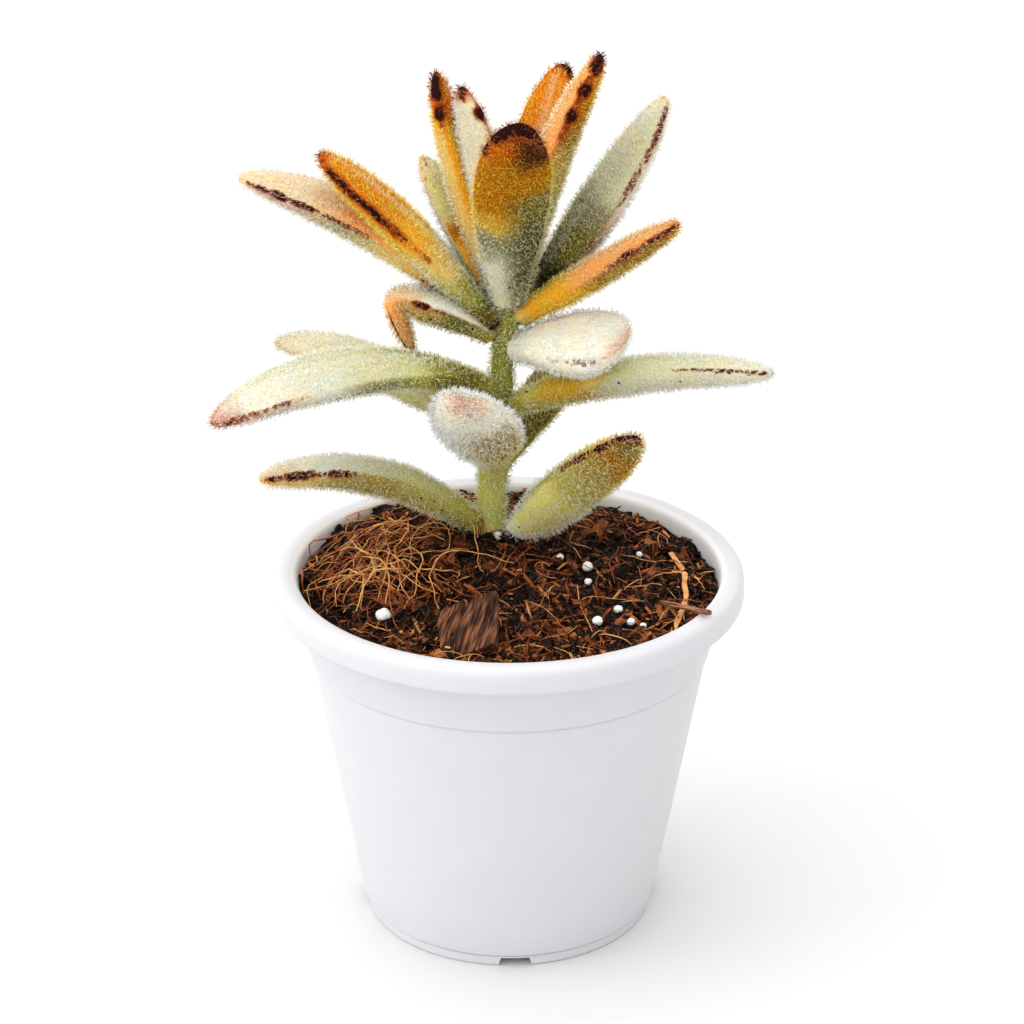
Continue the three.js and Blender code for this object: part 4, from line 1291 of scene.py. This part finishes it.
def layFibre(curve, points, radius, material):
    spline = curve.splines.new("POLY")
    spline.points.add(len(points) - 1)
    spline.material_index = material
    for index, (point, given) in enumerate(zip(spline.points, points)):
        point.co = (*(given * mm), 1)
        point.radius = radius * (0.55 + 0.45 * math.sin(math.pi * (index + 0.6) / len(points)))


def newFibres(name):
    curve = bpy.data.curves.new(name, "CURVE")
    curve.dimensions = "3D"
    curve.bevel_depth = mm
    curve.bevel_resolution = 0
    curve.use_fill_caps = True
    for material in (coirGold, coirRust, coirDark):
        curve.materials.append(material)
    return inScene(bpy.data.objects.new(name, curve))


def finishFibres(piece, *replaced):
    piece = settle(piece)
    piece.data.shade_smooth()
    return handOver(piece, "coir", *replaced)


loose = {
    "seed": 414, "fibres": 430, "reach": 44, "stemClear": 6, "grainClear": 0.6, "steps": 5,
    "length": (3, 11), "curl": 0.9, "arch": (-0.3, 1.2), "raised": (0.6, 2), "radius": (0.06, 0.15),
    "finishes": (0, 0, 1, 1, 1, 2),
}


def makeMixFibres():
    draw = random.Random(loose["seed"])
    piece = newFibres("mix_fibres")
    for _ in range(loose["fibres"]):
        away, around = loose["reach"] * math.sqrt(draw.random()), draw.uniform(0, math.tau)
        x, y = away * math.cos(around), away * math.sin(around)
        if fromStem(x, y) < loose["stemClear"]:
            continue
        length, raised, arch = (draw.uniform(*loose[key]) for key in ("length", "raised", "arch"))
        heading = draw.uniform(0, math.tau)
        points = wander(draw, x, y, heading, length, loose["curl"], arch, raised, loose["steps"])
        if any(
            math.hypot(place.x - grainX, place.y - grainY) < radius + loose["grainClear"]
            for place in points for grainX, grainY, radius in perliteGrains
        ):
            continue
        layFibre(piece.data, points, draw.uniform(*loose["radius"]), draw.choice(loose["finishes"]))
    return finishFibres(piece)


tuft = {
    "seed": 97, "x": -28.5, "y": 4, "reachX": 7, "reachY": 13, "raised": (0.8, 2.2), "steps": 15,
    "kinds": ({  # a springy tangle of light fibres
        "fibres": 62, "spread": 1, "shift": (0, 0), "length": (16, 34), "curl": 2.9, "arch": (1.5, 6.5),
        "radius": (0.1, 0.22), "finishes": (0, 0, 0, 1),
    }, {  # over a mat of darker ones
        "fibres": 40, "spread": 1.7, "shift": (3, 4), "length": (7, 20), "curl": 1.5, "arch": (0, 1.8),
        "radius": (0.1, 0.2), "finishes": (1, 1, 1, 2),
    }),
}


def makeTuft():
    draw = random.Random(tuft["seed"])
    piece = newFibres("coir_tuft_fine")
    for kind in tuft["kinds"]:
        for _ in range(kind["fibres"]):
            away, around = kind["spread"] * math.sqrt(draw.random()), draw.uniform(0, math.tau)
            x = tuft["x"] + tuft["reachX"] * away * math.cos(around) - kind["shift"][0]
            y = tuft["y"] + tuft["reachY"] * away * math.sin(around) - kind["shift"][1]
            length, heading = draw.uniform(*kind["length"]), draw.uniform(0, math.tau)
            x -= math.cos(heading) * length * 0.5
            y -= math.sin(heading) * length * 0.5
            arch, raised = draw.uniform(*kind["arch"]), draw.uniform(*tuft["raised"])
            points = wander(draw, x, y, heading, length, kind["curl"], arch, raised, tuft["steps"])
            layFibre(piece.data, points, draw.uniform(*kind["radius"]), draw.choice(kind["finishes"]))
    return finishFibres(piece, "coir_tuft")


strip = {  # routes are x, y and the height above the mix
    "route": [(36.8, 14, 1.5), (38.2, 7.5, 1.9), (39.3, 1, 2.1), (39, -4, 2.2), (39.2, -8, 2.1),
              (38.4, -14, 2), (37.8, -17, 1.9), (36.2, -23, 1.6), (35, -27, 1.3)],
    "short": [(36.8, 4.6, 1.2), (39.6, 2.2, 1.5), (42.6, -0.4, 1.3)], "halfWidth": 0.75, "flat": 0.38,
    "ragged": 0.3, "sides": 10,
}


def eased(points, steps):  # a smooth route through points
    route = []
    for index in range(len(points) - 1):
        a, b, c, d = (points[min(len(points) - 1, max(0, index + step))] for step in (-1, 0, 1, 2))
        for step in range(steps):
            t = step / steps
            squared, cubed = (a * 2 - b * 5 + c * 4 - d) * t**2, (b * 3 - a - c * 3 + d) * t**3
            route.append((b * 2 + (c - a) * t + squared + cubed) / 2)
    return route + [points[-1]]


def makeStrip():
    bm = bmesh.new()
    for number, key in enumerate(("route", "short")):
        route = eased([Vector((x, y, mixLevel(x, y) + above)) for x, y, above in strip[key]], 6)
        wide = strip["halfWidth"] * (1 - 0.3 * number)
        radii = [wide * (0.85 + strip["ragged"] * ripple(place, 2.2, number)) * mm for place in route]
        drawOut(bm, [place * mm for place in route], radii, strip["sides"], strip["flat"])
    piece = madeOf(bm, "coir_strip_fine", coirGold)
    return handOver(piece, "coir", "coir_strip")


# Bark, twig and perlite


def makeOldBarkFinish(name, dark, middle, light):
    bark = Finish(name)
    place = bark.attribute("grain", "Vector")
    ridge = bark.noise(0.42, 4, bark.stretched((1, 0.06, 1), place))
    broad = bark.noise(1.5, 3, bark.stretched((1, 0.24, 1), place))
    colour = bark.stops(ridge * 0.55 + broad * 0.45, (0.4, dark), (0.49, middle), (0.62, light))
    rough = 0.6 + ridge * 0.3
    return bark.surface(colour, rough, bark.bump(ridge + broad * 0.6, 0.6), Specular_IOR_Level=0.25)


oldBark = makeOldBarkFinish("oldBark", tone(9, 5, 3), tone(70, 37, 22), tone(156, 98, 64))
twigBark = makeOldBarkFinish("twigBark", tone(54, 28, 18), tone(124, 74, 48), tone(190, 138, 104))

chunk = {
    "x": -8, "y": -28.8, "raised": 2, "thick": 2.8, "pitch": 0.42, "roll": -0.16, "lean": 0.3,
    "corners": ((-5.9, -8.6), (5.9, -5.9), (6, 9.4), (-7.5, 5.2)), "splinters": 0.9, "fissures": 2.2,
}


def makeChunk():
    bm = bmesh.new()
    grain = bm.verts.layers.float_vector.new("grain")
    bmesh.ops.create_grid(bm, x_segments=64, y_segments=56, size=1)
    first, second, third, fourth = (Vector(corner) for corner in chunk["corners"])
    for vert in bm.verts:
        u, v = (vert.co.x + 1) / 2, (vert.co.y + 1) / 2
        place = first.lerp(second, u).lerp(fourth.lerp(third, u), v)
        x, y = place
        splinters = chunk["splinters"] * ripple((x * 1.3, 0, v * 2), 1, 4) * abs(2 * v - 1) ** 4
        across = x - chunk["lean"] * y
        bent = across + 0.5 * ripple((x * 0.5, y, 4), 3)
        ridges = 0.4 * ripple((bent, y * 0.14, 0), 0.6) + 0.4 * ripple((bent, y * 0.12, 3), 1.2)
        fissure = -chunk["fissures"] * max(0, ripple((bent, y * 0.1, 8), 1.3) - 0.1)
        top = chunk["thick"] - 0.35 + ridges + fissure
        vert.co = (x + 0.2 * ripple((0, y, 2), 2), y + splinters, top)
        vert[grain] = Vector((across, y, 0)) * mm
    under = bmesh.ops.extrude_face_region(bm, geom=bm.faces[:])["geom"]
    for vert in under:
        if isinstance(vert, bmesh.types.BMVert):
            vert[grain] = vert[grain] + Vector((0, 0, 2 * mm))
            vert.co.z = 0.15
    x, y = chunk["x"], chunk["y"]
    lie = Matrix.Translation((x, y, mixLevel(x, y) + chunk["raised"]))
    layDown(bm, lie @ Matrix.Rotation(chunk["pitch"], 4, "X") @ Matrix.Rotation(chunk["roll"], 4, "Y"))
    faceOutward(bm)
    piece = madeOf(bm, "bark_chunk_fine", oldBark, flatAngle=60)
    return handOver(piece, "bark", "bark_chunk")


twig = {
    "route": [(33.4, -13.6, 81.2), (36, -17.2, 82.4), (38.2, -20.5, 83.4), (40.8, -24.4, 84.5),
              (43.2, -27.6, 85.5)],
    "radius": 0.62, "sides": 16, "knots": 0.16, "ridges": 0.07,
}


def makeTwig():
    bm = bmesh.new()
    route = eased([Vector(place) for place in twig["route"]], 8)
    radii = [twig["radius"] * (1 + twig["knots"] * ripple(place, 1.5, 2)) * mm for place in route]
    drawOut(bm, [place * mm for place in route], radii, twig["sides"])
    grain = bm.verts.layers.float_vector.new("grain")
    turn = (route[-1] - route[0]).to_track_quat("Y", "Z").inverted()
    for vert in bm.verts:
        ridge = ripple(turn @ vert.co / mm * Vector((1, 0.1, 1)).length, 0.5, 6)
        vert.co += vert.normal * twig["ridges"] * ridge * mm
        vert[grain] = turn @ vert.co
    piece = madeOf(bm, "twig_fine", twigBark)
    return handOver(piece, "bark", "twig")


perlite = {"dents": (0.16, 0.07), "flat": 0.92, "raised": 0.4}


def makePerlite():
    glass = Finish("perlite")
    pores = glass.noise(0.3, 4)
    colour = glass.mix(pores.between(0.3, 0.6), tone(232, 228, 222), tone(255, 255, 252))
    white = glass.surface(colour, 0.75, glass.bump(pores, 0.2), Specular_IOR_Level=0.3)
    for number, (x, y, radius) in enumerate(perliteGrains):
        bm = bmesh.new()
        bmesh.ops.create_icosphere(bm, subdivisions=4, radius=radius * 0.96)
        for vert in bm.verts:
            place = vert.co.copy()
            broad, fine = perlite["dents"]
            dents = broad * ripple(place, radius * 0.9, number) + fine * ripple(place, radius * 0.35, number)
            vert.co = place * (1 + dents - 0.04)
            vert.co.z *= perlite["flat"]
        layDown(bm, Matrix.Translation((x, y, mixLevel(x, y) + 0.45 * radius + perlite["raised"])))
        faceOutward(bm)
        node = f"perlite_{number + 1}"
        handOver(madeOf(bm, node + "_fine", white), "perlite", node)


makeMixFibres()
makeTuft()
makeStrip()
makeChunk()
makeTwig()
makePerlite()
clearAway(hairShapes)
print("what lies on the mix made")
